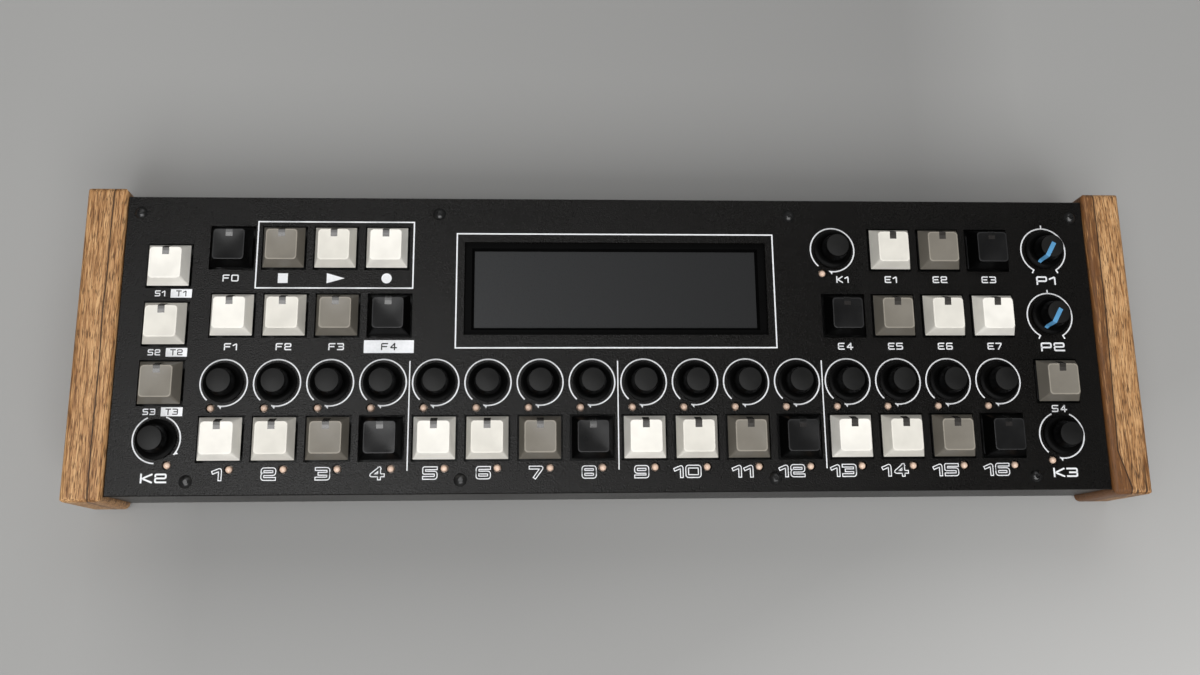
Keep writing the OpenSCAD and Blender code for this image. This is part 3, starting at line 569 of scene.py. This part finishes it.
# The rim finish number marks the band that carries the painted highlight.
SKIRT, WINDOW, STEM, LAMP, RIM_HIGHLIGHT, TOP = range(6)


def rounded_square(half, corner, w, steps=4):
    """Outline of a square with rounded corners, with points along its sides as well."""
    places = []
    for quarter in range(4):
        turn = quarter * math.pi / 2
        c, s = math.cos(turn), math.sin(turn)
        flat = half - corner
        arc = [(flat + corner * math.cos(a), flat + corner * math.sin(a))
               for a in (k * math.pi / 2 / steps for k in range(steps + 1))]
        side = [(half, flat * t) for t in (-0.5, 0.0, 0.5)]
        places += [(x * c - y * s, x * s + y * c, w) for x, y in side + arc]
    return places


def cap_profile():
    """Half-width, corner radius and height of the cap's rings, from the skirt to the edge of the hollow."""
    base, top, high = CAP_BASE / 2, CAP_TOP / 2, CAP_LIFT + CAP_H
    slope = (base - top) / CAP_H
    rings = [(base - CAP_CHAMFER, SKIRT_CORNER, CAP_LIFT),
             (base - SKIRT_DRAFT, SKIRT_CORNER, CAP_LIFT + CAP_CHAMFER)]
    first, last = CAP_LIFT + SLOPE_START, high - CAP_EDGE
    for t in (0.0, 0.34, 0.67, 0.97, 1.0):
        w = first + t * (last - first)
        corner = SKIRT_CORNER + (TOP_CORNER - SKIRT_CORNER) * (w - CAP_LIFT) / CAP_H
        rings.append((base - slope * (w - CAP_LIFT), corner, w))
    edge = [(top + slope * CAP_EDGE, last), (top, high), (top - CAP_EDGE, high - RIM_DIP)]
    for t in (0.25, 0.5, 0.75, 1.0):
        half, w = rounded(*edge, t)
        rings.append((half, TOP_CORNER - RIM_SLACK * t, w))
    return rings


def dish_height(x, y):
    """Height of the hollow top face; x and y are shares of its half-width."""
    return CAP_LIFT + CAP_H - RIM_DIP - CAP_DISH * (1 - x * x) * (1 - y * y)


def window_path():
    """The window strip's line: over the hollow, round the edge and down the back slope."""
    rings = cap_profile()
    rim = rings[-1][0]
    first = CAP_TOP / 2 - WINDOW_LEN
    stops = (first, first + WINDOW_LAMP_LEN / 2, first + WINDOW_LAMP_LEN, rim - 0.5, rim)
    line = [(y, dish_height(0, y / rim)) for y in stops]
    line += [(half, w) for half, corner, w in reversed(rings[:-1]) if w > CAP_LIFT + WINDOW_FLOOR]
    path = []
    for k, (y, w) in enumerate(line):
        y0, w0 = line[max(k - 1, 0)]
        y1, w1 = line[min(k + 1, len(line) - 1)]
        run = math.hypot(y1 - y0, w1 - w0)
        normal = (-(w1 - w0) / run, (y1 - y0) / run)
        path.append((y + WINDOW_PROUD * normal[0], w + WINDOW_PROUD * normal[1], normal))
    return path


def keycap(name, place, colour):
    """One cap with its lamp window and the stem under it."""
    shape = Shape(*place)
    inner, ceiling = CAP_BASE / 2 - CAP_WALL, CAP_LIFT + CAP_H - CAP_DISH - CAP_WALL
    rings = [[(0, 0, ceiling)],
             rounded_square(CAP_TOP / 2 - CAP_WALL, SKIRT_CORNER, ceiling),
             rounded_square(inner, SKIRT_CORNER, CAP_LIFT)]
    outer = cap_profile()
    rings += [rounded_square(*ring) for ring in outer]
    rim, corner = outer[-1][:2]
    for t in (0.975, 0.88, 0.72, 0.54, 0.36, 0.18):
        rings.append([(x, y, dish_height(x / rim, y / rim))
                      for x, y, w in rounded_square(rim * t, corner * t, 0)])
    rings.append([(0, 0, dish_height(0, 0))])
    # The rim bands round the top edge take the painted highlight.
    highlight_bands = 3
    top_bands = len(rings) - 1 - len(outer) - highlight_bands
    shape.lathe(rings, [SKIRT] * len(outer) + [RIM_HIGHLIGHT] * highlight_bands + [TOP] * top_bands)
    path = window_path()
    shape.strip(path[:3], WINDOW_W / 2, WINDOW_T, LAMP)
    shape.strip(path[2:], WINDOW_W / 2, WINDOW_T, WINDOW)
    shape.plate(rectangle(0, 0, *STEM_SIZE), *STEM_ENDS, STEM)
    # Taupe and black caps take skirt finishes with painted shade on their sides.
    finishes = [shaded_skirt_finish[colour], window_finish[colour], stem_finish, window_lamp[colour],
                rim_highlight_finish[colour], cap_finish[colour]]
    return shape.build(name, finishes, SMOOTH)


def key_row(first, v, *colours, shift=0.0):
    """Places and colours of keys side by side, from a column on."""
    return [((COLUMNS[first + k] + shift, v), colour) for k, colour in enumerate(colours)]


FOUR_CAPS = ["white", "light", "taupe", "black"]
key_sets = {f"step_key_{i + 1}": key_row(i, ROW_STEP, FOUR_CAPS[i % 4]) for i in range(16)}
key_sets["side_keys"] = [((-SIDE_U, ROW_ENCODER + k * SIDE_KEY_RISE), colour)
                         for k, colour in zip((2, 1, 0), FOUR_CAPS)]
key_sets["shift_key"] = key_row(0, ROW_UPPER, "black")
key_sets["transport_keys"] = key_row(1, ROW_UPPER, "taupe", "light", "white")
key_sets["mode_keys"] = key_row(0, ROW_MODE, *FOUR_CAPS, shift=MODE_SHIFT)
key_sets["upper_edit_keys"] = key_row(13, ROW_UPPER, "light", "taupe", "black")
key_sets["lower_edit_keys"] = key_row(12, ROW_MODE, "black", "taupe", "light", "white")
key_sets["gang_key"] = [((SIDE_U, ROW_ENCODER), "taupe")]
for node, caps in key_sets.items():
    for number, (place, colour) in enumerate(caps, 1):
        piece = keycap(f"{node}_cap_{number}", place, colour)
        settle(piece, node, "cap_" + colour, node)

# Knobs, in millimetres, and the numbers of a knob's finishes
SKIRT_R = 8.65
SKIRT_H = 1.2
SKIRT_EDGE = 0.15
SKIRT_ROUND = (0.2, 0.06)
FLARE_H = 3.2
NECK_R = 5.9
KNOB_TOP_R = 5.3
KNOB_TOP = 10.8
KNOB_LIFT = 0.8
BUSHING_ROOM = (5.2, 2.2)
SHAFT_R = 3.0
SHAFT_LOW = -8.7
VALUE_SHAFT_LOW = -6.1
KNOB_EDGE = 0.3
POINTER_W = 2.0
POINTER_END_W = 1.5
POINTER_BACK = 1.9
POINTER_FRONT = 2.0
POINTER_PROUD = 0.05
POINTER_END = 6.9
POINTER_T = 0.4
POT_REST = math.radians(150)
TURN_STEPS = 72
SHAFT_STEPS = 24
# The crown mark takes the top disc's painted sheen.
KNOB_SKIN, KNOB_SHAFT, KNOB_POINTER, KNOB_SHEEN_CROWN = range(4)


def knob_skin():
    """Radius and height of a knob from its skirt to its top edge."""
    low = KNOB_LIFT
    drop, cut = SKIRT_ROUND
    skin = [(SKIRT_R - SKIRT_EDGE, low), (SKIRT_R, low + SKIRT_EDGE), (SKIRT_R, low + SKIRT_H - drop),
            (SKIRT_R - cut, low + SKIRT_H - cut)]
    reach = SKIRT_R - NECK_R
    for k in range(1, 10):
        a = math.radians(270 - 10 * k)
        skin.append((SKIRT_R + reach * math.cos(a), low + SKIRT_H + FLARE_H * (1 + math.sin(a))))
    shoulder = KNOB_TOP - KNOB_EDGE
    skin.append((KNOB_TOP_R, shoulder))
    for degrees in (30, 60, 90):
        a = math.radians(degrees)
        skin.append((KNOB_TOP_R - KNOB_EDGE * (1 - math.cos(a)), shoulder + KNOB_EDGE * math.sin(a)))
    return skin


def circle(radius, w, steps=TURN_STEPS):
    return [(radius * math.cos(2 * math.pi * k / steps), radius * math.sin(2 * math.pi * k / steps), w)
            for k in range(steps)]


def pointer(shape):
    """The line across a pot knob's top and down its side, bent round the knob."""
    top = KNOB_TOP + POINTER_PROUD
    line = [(-POINTER_BACK, top), (0.0, top), (POINTER_FRONT, top)]
    flat_stops = len(line)
    line += [(r + POINTER_PROUD, w + POINTER_PROUD / 2)
             for r, w in reversed(knob_skin()) if r < POINTER_END]
    sections = []
    for k, (r, w) in enumerate(line):
        bent = k >= flat_stops
        narrowing = max(0.0, (r - KNOB_TOP_R) / (POINTER_END - KNOB_TOP_R))
        half = (POINTER_W + (POINTER_END_W - POINTER_W) * narrowing) / 2
        outer, inner = [], []
        for x in (-half, 0.0, half):
            y = math.sqrt(r * r - x * x) if bent else r
            outer.append((x, y, w))
            inner.append((x, y - (POINTER_T if bent else 0.0), w - POINTER_T))
        sections.append(shape.ring(outer + inner[::-1]))
    shape.run(sections, KNOB_POINTER)


def knob(name, place, turn=0.0, pointed=False, shaft_low=SHAFT_LOW):
    """One turned knob with the shaft under it."""
    shape = Shape(*place, turn)
    room_r, room_top = BUSHING_ROOM
    rings = [[(0, 0, room_top)], circle(room_r, room_top), circle(room_r, KNOB_LIFT)]
    rings += [circle(r, w) for r, w in knob_skin()]
    rings.append([(0, 0, KNOB_TOP)])
    shape.lathe(rings, [KNOB_SKIN] * (len(rings) - 2) + [KNOB_SHEEN_CROWN])
    shaft = [circle(SHAFT_R, w, SHAFT_STEPS) for w in (shaft_low, room_top)]
    shape.lathe([[(0, 0, shaft_low)], *shaft, [(0, 0, room_top)]], [KNOB_SHAFT] * 3)
    if pointed:
        pointer(shape)
    return shape.build(name, [knob_finish, shaft_finish, pointer_finish, knob_top_finish], SMOOTH)


plain_knobs = [f"step_knob_{i}" for i in range(1, 17)] + ["row_knob", "bar_knob", "value_knob"]
for name in plain_knobs:
    shaft_low = VALUE_SHAFT_LOW if name == "value_knob" else SHAFT_LOW
    settle(knob(name + "_turned", knob_place(name), shaft_low=shaft_low), name, "knob_plastic", name)
for name in ("pot_knob_a", "pot_knob_b"):
    settle(knob(name + "_turned", knob_place(name), POT_REST, True), name, "pot_knob_plastic", name)


class Growth:
    """A Geometry Nodes tree with named inputs, turned into a plain mesh by grow()."""

    def __init__(self, name, *sizes):
        self.tree = bpy.data.node_groups.new(name, "GeometryNodeTree")
        self.keys = {}
        self.add_input("Points", "NodeSocketGeometry")
        self.tree.interface.new_socket("Geometry", in_out="OUTPUT", socket_type="NodeSocketGeometry")
        self.entry = self.tree.nodes.new("NodeGroupInput")
        for label in sizes:
            self.add_input(label, "NodeSocketFloat")
        self.add_input("Finish", "NodeSocketMaterial")

    def add_input(self, label, kind):
        socket = self.tree.interface.new_socket(label, in_out="INPUT", socket_type=kind)
        self.keys[label] = socket.identifier

    def value(self, label):
        return self.entry.outputs[label]

    def node(self, kind, inputs=None, **settings):
        made = self.tree.nodes.new(kind)
        for key, value in settings.items():
            setattr(made, key, value)
        for key, value in (inputs or {}).items():
            sources = value if isinstance(value, list) else [value]
            for source in sources:
                if isinstance(source, bpy.types.NodeSocket):
                    self.tree.links.new(source, made.inputs[key])
                else:
                    made.inputs[key].default_value = source
        return made.outputs[0]

    def finish(self, instance):
        """Puts the instance on every point, upright on the panel, and closes the tree."""
        spread = self.node("GeometryNodeInstanceOnPoints",
                           {"Points": self.value("Points"), "Instance": instance,
                            "Rotation": Euler((PANEL_TILT, 0, 0))})
        real = self.node("GeometryNodeRealizeInstances", {"Geometry": spread})
        dressed = self.node("GeometryNodeSetMaterial", {"Geometry": real, "Material": self.value("Finish")})
        exit_node = self.tree.nodes.new("NodeGroupOutput")
        self.tree.links.new(dressed, exit_node.inputs[0])

    def grow(self, name, points, **sizes):
        """A plain mesh object of the tree's result on these points."""
        seeds = bpy.data.meshes.new(name + "_places")
        seeds.from_pydata(points, [], [])
        seed = add_object(name + "_places", seeds)
        modifier = seed.modifiers.new("grow", "NODES")
        modifier.node_group = self.tree
        for label, value in sizes.items():
            modifier[self.keys[label.replace("_", " ").capitalize()]] = value
        graph = bpy.context.evaluated_depsgraph_get()
        mesh = bpy.data.meshes.new_from_object(seed.evaluated_get(graph))
        bpy.data.objects.remove(seed)
        return add_object(name, mesh)


# Lamps
LAMP_D = 3.0
LAMP_FOOT_D = 3.6
LAMP_SIDE = 5.1
LAMP_DROP = 10.95
STEP_LAMP_SIDE = 4.4
STEP_LAMP_DROP = 12.9
LAMP_SHOULDER = -0.75
LAMP_FACETS = 20
LAMP_RINGS = 12
BOARD_DROP = 10.0
FOOT_H = BOARD_DROP - PANEL_T - 1.0


def lamp_tree():
    """A domed lamp on a round foot, one on each point."""
    growth = Growth("domed_lamps", "Lamp diameter", "Foot diameter", "Stand height", "Foot height")

    def scaled(socket, factor):
        return growth.node("ShaderNodeMath", {0: socket, 1: factor}, operation="MULTIPLY")

    def barrel(diameter, height, drop):
        made = growth.node("GeometryNodeMeshCylinder", {"Vertices": LAMP_FACETS, "Depth": height,
                                                        "Radius": scaled(growth.value(diameter), 0.5)})
        shift = growth.node("ShaderNodeCombineXYZ", {2: scaled(drop, -0.5)})
        return growth.node("GeometryNodeTransform", {"Geometry": made, "Translation": shift})

    stand_h, foot_h = growth.value("Stand height"), growth.value("Foot height")
    dome = growth.node("GeometryNodeMeshUVSphere", {"Segments": LAMP_FACETS, "Rings": LAMP_RINGS,
                                                    "Radius": scaled(growth.value("Lamp diameter"), 0.5)})
    smooth = growth.node("GeometryNodeSetShadeSmooth", {"Geometry": dome})
    stand = barrel("Lamp diameter", stand_h, stand_h)
    foot_drop = growth.node("ShaderNodeMath", {0: scaled(stand_h, 2.0), 1: foot_h}, operation="SUBTRACT")
    foot = barrel("Foot diameter", foot_h, foot_drop)
    growth.finish(growth.node("GeometryNodeJoinGeometry", {"Geometry": [smooth, stand, foot]}))
    return growth


def lamp_places():
    """Panel places of the lamps: beside each endless knob, then under each step key."""
    left = STEP_KNOBS + [knob_place("bar_knob"), knob_place("value_knob")]
    row_u, row_v = knob_place("row_knob")
    places = [(u - LAMP_SIDE, v - LAMP_DROP) for u, v in left] + [(row_u + LAMP_SIDE, row_v - LAMP_DROP)]
    return places + [(u + STEP_LAMP_SIDE, ROW_STEP - STEP_LAMP_DROP) for u in COLUMNS]


lamp_piece = lamp_tree().grow(
    "domed_lamps", [on_panel(u, v, LAMP_SHOULDER) for u, v in lamp_places()],
    lamp_diameter=LAMP_D * MM, foot_diameter=LAMP_FOOT_D * MM,
    stand_height=(BOARD_DROP + LAMP_SHOULDER) * MM, foot_height=FOOT_H * MM, finish=lamp_finish)
settle(lamp_piece, "case", "lamp", "lamps")

# Printed rings round the knobs; arcs in degrees counter-clockwise from the right
RING_R = 10.14
POT_RING_R = 10.44
LINE = 0.62
INK_T = 0.03
RING_T = 1.2 * INK_T
LAMP_GAP = (228, 259)
STEP_ARC = (LAMP_GAP[1] - 360, LAMP_GAP[0])
ROW_LEFT_ARC = (115, 268)
ROW_RIGHT_ARC = (-40, 70)
BAR_LEFT_ARC = (112, LAMP_GAP[0])
BAR_RIGHT_ARC = (LAMP_GAP[1] - 360, 65)
POT_ARC = (-60, 240)
ARC_POINTS = 96


def ring_tree():
    """A flat printed arc round each point."""
    growth = Growth("printed_rings", "Radius", "Start angle", "Sweep angle", "Line width", "Ink thickness")
    arc = growth.node("GeometryNodeCurveArc",
                      {"Resolution": ARC_POINTS, "Radius": growth.value("Radius"),
                       "Start Angle": growth.value("Start angle"),
                       "Sweep Angle": growth.value("Sweep angle")}, mode="RADIUS")
    section = growth.node("GeometryNodeCurvePrimitiveQuadrilateral",
                          {"Width": growth.value("Line width"), "Height": growth.value("Ink thickness")},
                          mode="RECTANGLE")
    growth.finish(growth.node("GeometryNodeCurveToMesh",
                              {"Curve": arc, "Profile Curve": section, "Fill Caps": True}))
    return growth


ring_growth = ring_tree()


def print_rings(name, places, radius, arc):
    """The same printed arc round each place."""
    start, end = arc
    piece = ring_growth.grow(name, [on_panel(u, v, INK_T / 2) for u, v in places],
                             radius=radius * MM, start_angle=math.radians(start),
                             sweep_angle=math.radians(end - start), line_width=LINE * MM,
                             ink_thickness=RING_T * MM, finish=white_ink)
    settle(piece, "case", "panel_paint")


step_places = STEP_KNOBS + [knob_place("value_knob")]
row_place, bar_place = knob_place("row_knob"), knob_place("bar_knob")
pot_places = [knob_place("pot_knob_a"), knob_place("pot_knob_b")]
print_rings("step_rings", step_places, RING_R, STEP_ARC)
print_rings("row_ring_left", [row_place], RING_R, ROW_LEFT_ARC)
print_rings("row_ring_right", [row_place], RING_R, ROW_RIGHT_ARC)
print_rings("bar_ring_left", [bar_place], RING_R, BAR_LEFT_ARC)
print_rings("bar_ring_right", [bar_place], RING_R, BAR_RIGHT_ARC)
print_rings("pot_rings", pot_places, POT_RING_R, POT_ARC)

# Strokes of the plain characters, in shares of their width and height; True closes a stroke
CORNER_SHARE = 0.18
NARROW = {"0": 1.1, "1": 0.55}
CHARACTERS = {
    "0": [([(0, 0), (1, 0), (1, 1), (0, 1)], True)],
    "1": [([(0, 0.72), (1, 1), (1, 0)], False)],
    "2": [([(0, 0.76), (0, 1), (1, 1), (1, 0.5), (0, 0.5), (0, 0), (1, 0)], False)],
    "3": [([(0, 1), (1, 1), (1, 0), (0, 0)], False), ([(0.25, 0.5), (1, 0.5)], False)],
    "4": [([(0.74, 1), (0.02, 0.3), (1.06, 0.3)], False), ([(0.74, 1), (0.74, -0.02)], False)],
    "5": [([(1, 1), (0.06, 1), (0, 1), (0, 0.94), (0, 0.6), (0, 0.54), (0.06, 0.54), (1, 0.54), (1, 0),
            (0, 0)], False)],
    "6": [([(1, 1), (0, 1), (0, 0), (1, 0), (1, 0.52), (0, 0.52)], False)],
    "7": [([(0, 1), (1, 1), (0.4, 0)], False)],
    "8": [([(0, 0), (1, 0), (1, 1), (0, 1)], True), ([(0, 0.52), (1, 0.52)], False)],
    "9": [([(0, 0), (1, 0), (1, 1), (0, 1), (0, 0.48), (1, 0.48)], False)],
    "E": [([(1, 1), (0, 1), (0, 0), (1, 0)], False), ([(0, 0.5), (0.85, 0.5)], False)],
    "F": [([(1, 1), (0, 1), (0, 0)], False), ([(0, 0.5), (0.85, 0.5)], False)],
    "K": [([(0, 1), (0, 0)], False), ([(1, 1), (0.12, 0.48), (1, 0)], False)],
    "P": [([(0, 0), (0, 1), (1, 1), (1, 0.42), (0, 0.42)], False)],
    "S": [([(1, 1), (0, 1), (0, 0.5), (1, 0.5), (1, 0), (0, 0)], False)],
    "T": [([(0, 1), (1, 1)], False), ([(0.5, 1), (0.5, 0)], False)],
}


def longer(path, reach):
    """The same open path, drawn on past both of its ends."""
    made = list(path)
    for end, inward in ((0, 1), (-1, -2)):
        (x, y), (ox, oy) = path[end], path[inward]
        run = math.hypot(x - ox, y - oy)
        made[end] = (x + (x - ox) * reach / run, y + (y - oy) * reach / run)
    return made


def soft_corners(path, closed, radius):
    """The same path with each corner cut into a short curve."""
    count = len(path)
    made = []
    for k, (x, y) in enumerate(path):
        if not closed and k in (0, count - 1):
            made.append((x, y))
            continue
        ends = []
        for ox, oy in (path[k - 1], path[(k + 1) % count]):
            run = math.hypot(ox - x, oy - y)
            cut = min(radius, 0.45 * run)
            ends.append((x + (ox - x) * cut / run, y + (oy - y) * cut / run))
        made += [rounded(ends[0], (x, y), ends[1], t) for t in (0, 0.25, 0.5, 0.75, 1)]
    return made


class Print(Shape):
    """Flat ink on the panel: lines, filled shapes and plain characters."""

    low, high = -0.004, INK_T

    def fill(self, outline):
        self.plate(outline, self.low, self.high)

    def line(self, path, width, closed=False):
        """A line of even width along a path, with mitred corners, in one piece."""
        count = len(path)
        left, right = [], []
        for k, (x, y) in enumerate(path):
            before = path[k - 1] if closed or k else None
            after = path[(k + 1) % count] if closed or k < count - 1 else None
            ways = []
            for a, b in ((before, (x, y)), ((x, y), after)):
                if a is not None and b is not None:
                    run = math.hypot(b[0] - a[0], b[1] - a[1])
                    ways.append(((b[0] - a[0]) / run, (b[1] - a[1]) / run))
            normals = [(-dy, dx) for dx, dy in ways]
            nx, ny = (sum(n[i] for n in normals) / len(normals) for i in (0, 1))
            size = nx * nx + ny * ny
            off = width / 2 / max(size, 0.25)
            left.append((x + nx * off, y + ny * off))
            right.append((x - nx * off, y - ny * off))
        rims = [self.ring([(x, y, w) for x, y in side])
                for side, w in ((right, self.high), (left, self.high), (left, self.low), (right, self.low))]
        for k in range(count if closed else count - 1):
            n = (k + 1) % count
            for a, b in zip(rims, rims[1:] + rims[:1]):
                self.face((a[k], a[n], b[n], b[k]))
        if not closed:
            self.face(tuple(rim[0] for rim in rims))
            self.face(tuple(rim[-1] for rim in reversed(rims)))

    def write(self, word, u, v, size, stroke, gap, anchor=0.5):
        """Plain characters of one size; anchor 0 starts at u, 0.5 centres and 1 ends there."""
        wide, tall = size
        widths = [wide * NARROW.get(letter, 1.0) for letter in word]
        length = sum(widths) + gap * (len(word) - 1)
        x = u - anchor * length
        for letter, width in zip(word, widths):
            for path, closed in CHARACTERS[letter]:
                places = [(x + px * width, v + (py - 0.5) * tall) for px, py in path]
                if not closed:
                    places = longer(places, stroke / 2)
                self.line(soft_corners(places, closed, CORNER_SHARE * min(tall, wide)), stroke, closed)
            x += width + gap


# Marks on the rings: corners of the half barb as (way out, degrees past the end), and ends of a tick
BARB = ((-LINE / 2, -1.5), (1.35, 7.5), (0.1, 9))
TICK = (-0.2, 1.7)


def polar(place, radius, degrees):
    angle = math.radians(degrees)
    return place[0] + radius * math.cos(angle), place[1] + radius * math.sin(angle)


def arrow_head(ink, place, angle):
    """The half barb where a ring ends, outside the line."""
    ink.fill([polar(place, RING_R + out, angle + past) for out, past in BARB])


def ticks(ink, place):
    """End marks and the middle mark of a pot's ring."""
    for degrees in (POT_ARC[0], 90, POT_ARC[1]):
        ink.line([polar(place, POT_RING_R + out, degrees) for out in TICK], LINE)


# Lines, boxes and signs; a box is its middle and its size
DISPLAY_LINE = (0.0, 23.4, 144.4, 52.1)
TRANSPORT_BOX = (-126.6, 39.45, 69.75, 30.4)
BOX_LINE = 0.6
UPPER_LABEL_V = 28.7
MODE_LABEL_V = -2.05
FOURTH_MODE_BOX = (-101.5, -2.05, 22.0, 5.7)
SIDE_BOXES = [(-193.6, 21.7), (-193.8, -4.5), (-193.9, -30.3)]
SIDE_BOX_SIZE = (9.2, 3.85)
DIVIDER_V = (-8.45, -56.05)
DIVIDER_LINE = 0.5
SIGN = 4.4
DOT_R = SIGN / 2 + 0.1
ARROW_SIGN = ((-3.6, -2.3), (4.4, 0), (-3.6, 2.3))
lines = Print()
for box in (DISPLAY_LINE, TRANSPORT_BOX):
    lines.line(rectangle(*box), BOX_LINE, True)
lines.fill(rectangle(*FOURTH_MODE_BOX))
for u, v in SIDE_BOXES:
    lines.fill(rectangle(u, v, *SIDE_BOX_SIZE))
for k in (3, 7, 11):
    lines.line([((COLUMNS[k] + COLUMNS[k + 1]) / 2, v) for v in DIVIDER_V], DIVIDER_LINE)
lines.fill(rectangle(COLUMNS[1], UPPER_LABEL_V, SIGN, SIGN))
lines.fill([(COLUMNS[2] + x, UPPER_LABEL_V + y) for x, y in ARROW_SIGN])
lines.fill([(COLUMNS[3] + x, UPPER_LABEL_V + y) for x, y, w in circle(DOT_R, 0, 32)])
for place in step_places + [bar_place]:
    arrow_head(lines, place, LAMP_GAP[1])
arrow_head(lines, row_place, ROW_RIGHT_ARC[0])
for place in pot_places:
    ticks(lines, place)
settle(lines.build("panel_lines", [white_ink]), "case", "panel_paint")

# Step numbers: a fat white stroke with a panel-coloured core
NUMBER_V = -57.0
NUMBER_END = 0.9
NUMBER_SIZE = (5.0, 4.05)
NUMBER_GAP = 2.4
NUMBER_STROKE = 1.6
NUMBER_CORE = 0.8
numbers, cores = Print(), Print()
cores.high = 2 * INK_T
for k, u in enumerate(COLUMNS):
    for ink, stroke in ((numbers, NUMBER_STROKE), (cores, NUMBER_CORE)):
        ink.write(str(k + 1), u + NUMBER_END, NUMBER_V, NUMBER_SIZE, stroke, NUMBER_GAP, 1)
settle(numbers.build("step_numbers", [white_ink]), "case", "panel_paint")
settle(cores.build("step_number_cores", [black_ink]), "case", "panel_paint")

# Short plain codes beside the other controls; a style is a size, a stroke and a gap
LABEL = ((2.5, 2.6), 0.55, 1.3)
WIDE_LABEL = ((4.4, 3.3), 0.75, 1.6)
SMALL_LABEL = ((1.9, 2.2), 0.5, 1.1)
BOXED_LABEL = ((1.9, 2.2), 0.45, 1.1)
SIDE_LABEL_END = SIDE_BOX_SIZE[0] / 2 + 2.6
VALUE_LABEL_U = knob_place("value_knob")[0] + 4.0
KNOB_LABEL_V = -58.5
POT_LABEL_VS = (28.4, -2.4)
labels, dark_labels = Print(), Print()
dark_labels.high = 2 * INK_T
codes = [("F0", COLUMNS[0], UPPER_LABEL_V)]
codes += [(f"F{k + 1}", COLUMNS[k] + MODE_SHIFT, MODE_LABEL_V) for k in range(3)]
codes += [(f"E{k + 1}", COLUMNS[13 + k], UPPER_LABEL_V) for k in range(3)]
codes += [(f"E{k + 4}", COLUMNS[12 + k], MODE_LABEL_V) for k in range(4)]
codes += [("S4", SIDE_U, SIDE_BOXES[2][1]), ("K1", VALUE_LABEL_U, UPPER_LABEL_V)]
wide_codes = [("K2", -SIDE_U, KNOB_LABEL_V), ("K3", SIDE_U, KNOB_LABEL_V)]
wide_codes += [(f"P{k + 1}", SIDE_U, v) for k, v in enumerate(POT_LABEL_VS)]
for style, group in ((LABEL, codes), (WIDE_LABEL, wide_codes)):
    for code, u, v in group:
        labels.write(code, u, v, *style)
for k, (u, v) in enumerate(SIDE_BOXES):
    labels.write(f"S{k + 1}", u - SIDE_LABEL_END, v, *SMALL_LABEL, 1)
    dark_labels.write(f"T{k + 1}", u, v, *BOXED_LABEL)
dark_labels.write("F4", *FOURTH_MODE_BOX[:2], *LABEL)
settle(labels.build("control_codes", [white_ink]), "case", "panel_paint")
settle(dark_labels.build("boxed_codes", [black_ink]), "case", "panel_paint")

# Floor, light and camera; a light is its place, its size and its power
FLOOR_SIZE = 8.0
FLOOR_COLOUR = (0.346, 0.344, 0.337)
CAMERA_AT = (-0.0440, -0.1121, 0.5980)
CAMERA_TURN = (17.76, -3.26, -0.69)
CAMERA_LENS = 37.42
CAMERA_SHIFT = (0.0067, -0.1111)
AMBIENT = 0.18
LIGHTS = {"front_light": ((0.1, -1.2, 1.4), (1.6, 1.0), 22.5),
          "left_light": ((-0.45, -0.38, 1.9), (1.2, 0.9), 17.0),
          "back_light": ((0.3, 1.3, 1.6), (1.4, 1.0), 7.0)}


def studio_floor():
    """Plain grey floor with a painted pool of light at the near right corner and painted shadow close in
    front of and at the back of the object.
    """
    finish = Finish("studio_floor", specular_ior_level=0.2)
    x, y = finish.axes()[:2]
    cloud = finish.noise(3, 2)
    # Painted pool of light at the near right corner.
    corner = finish.between(x - 2 * y, 0, 0.38, 0.3, 0.56)
    # Painted shadow on the floor just in front of the object.
    near = finish.between(y, 0.4, 1, -0.14, -0.085) * finish.between(y, 1, 0, -0.05, 0)
    before = near * finish.between(x, 0, 1, -0.24, -0.19) * finish.between(x, 0.2, 0, -0.05, 0.17)
    # Painted shadow on the floor at the back of the object.
    shadow_behind_band = finish.between(y, 0, 1, 0, 0.06)
    behind = shadow_behind_band * finish.between(x, 0, 0.19, -0.27, 0.15) * finish.between(x, 1, 0, 0.16, 0.22)
    # The painted light and shadow fade out with distance from the object.
    painted_light_reach = finish.between(x * x + y * y, 1, 0, 0.12, 0.6)
    tone = 0.97 + 0.06 * cloud + painted_light_reach * (corner - before - behind)
    finish.feed("Base Color", finish.blend(finish.between(tone, 0, 1, 0.5, 1.5),
                                           shade(FLOOR_COLOUR, 0.5), shade(FLOOR_COLOUR, 1.5)))
    finish.feed("Roughness", finish.between(cloud, 0.75, 0.85))
    mesh = bpy.data.meshes.new("studio_floor")
    corners = [(u, v, 0) for u, v in rectangle(0, 0, FLOOR_SIZE, FLOOR_SIZE)]
    mesh.from_pydata(corners, [], [(0, 1, 2, 3)])
    mesh.materials.append(finish.material)
    floor = add_object("studio_floor", mesh)


def soft_light(name, at, size, power):
    """A large soft light that looks at the middle of the object's foot."""
    light = bpy.data.lights.new(name, "AREA")
    light.shape = "RECTANGLE"
    light.size, light.size_y = size
    light.energy = power
    lamp = add_object(name, light)
    lamp.location = at
    lamp.rotation_euler = (-Vector(at)).to_track_quat("-Z", "Y").to_euler()


studio_floor()
for name, light in LIGHTS.items():
    soft_light(name, *light)
world = bpy.data.worlds.new("studio")
world.use_nodes = True
sky = world.node_tree.nodes["Background"].inputs
sky["Color"].default_value = (1.0, 1.0, 1.0, 1.0)
sky["Strength"].default_value = AMBIENT
scene.world = world

camera = bpy.data.cameras.new("camera")
camera.lens = CAMERA_LENS
camera.sensor_width = 36.0
camera.shift_x, camera.shift_y = CAMERA_SHIFT
camera.clip_start = 0.01
eye = add_object("camera", camera)
eye.location = CAMERA_AT
eye.rotation_euler = [math.radians(angle) for angle in CAMERA_TURN]
scene.camera = eye
scene.view_settings.view_transform = "Standard"
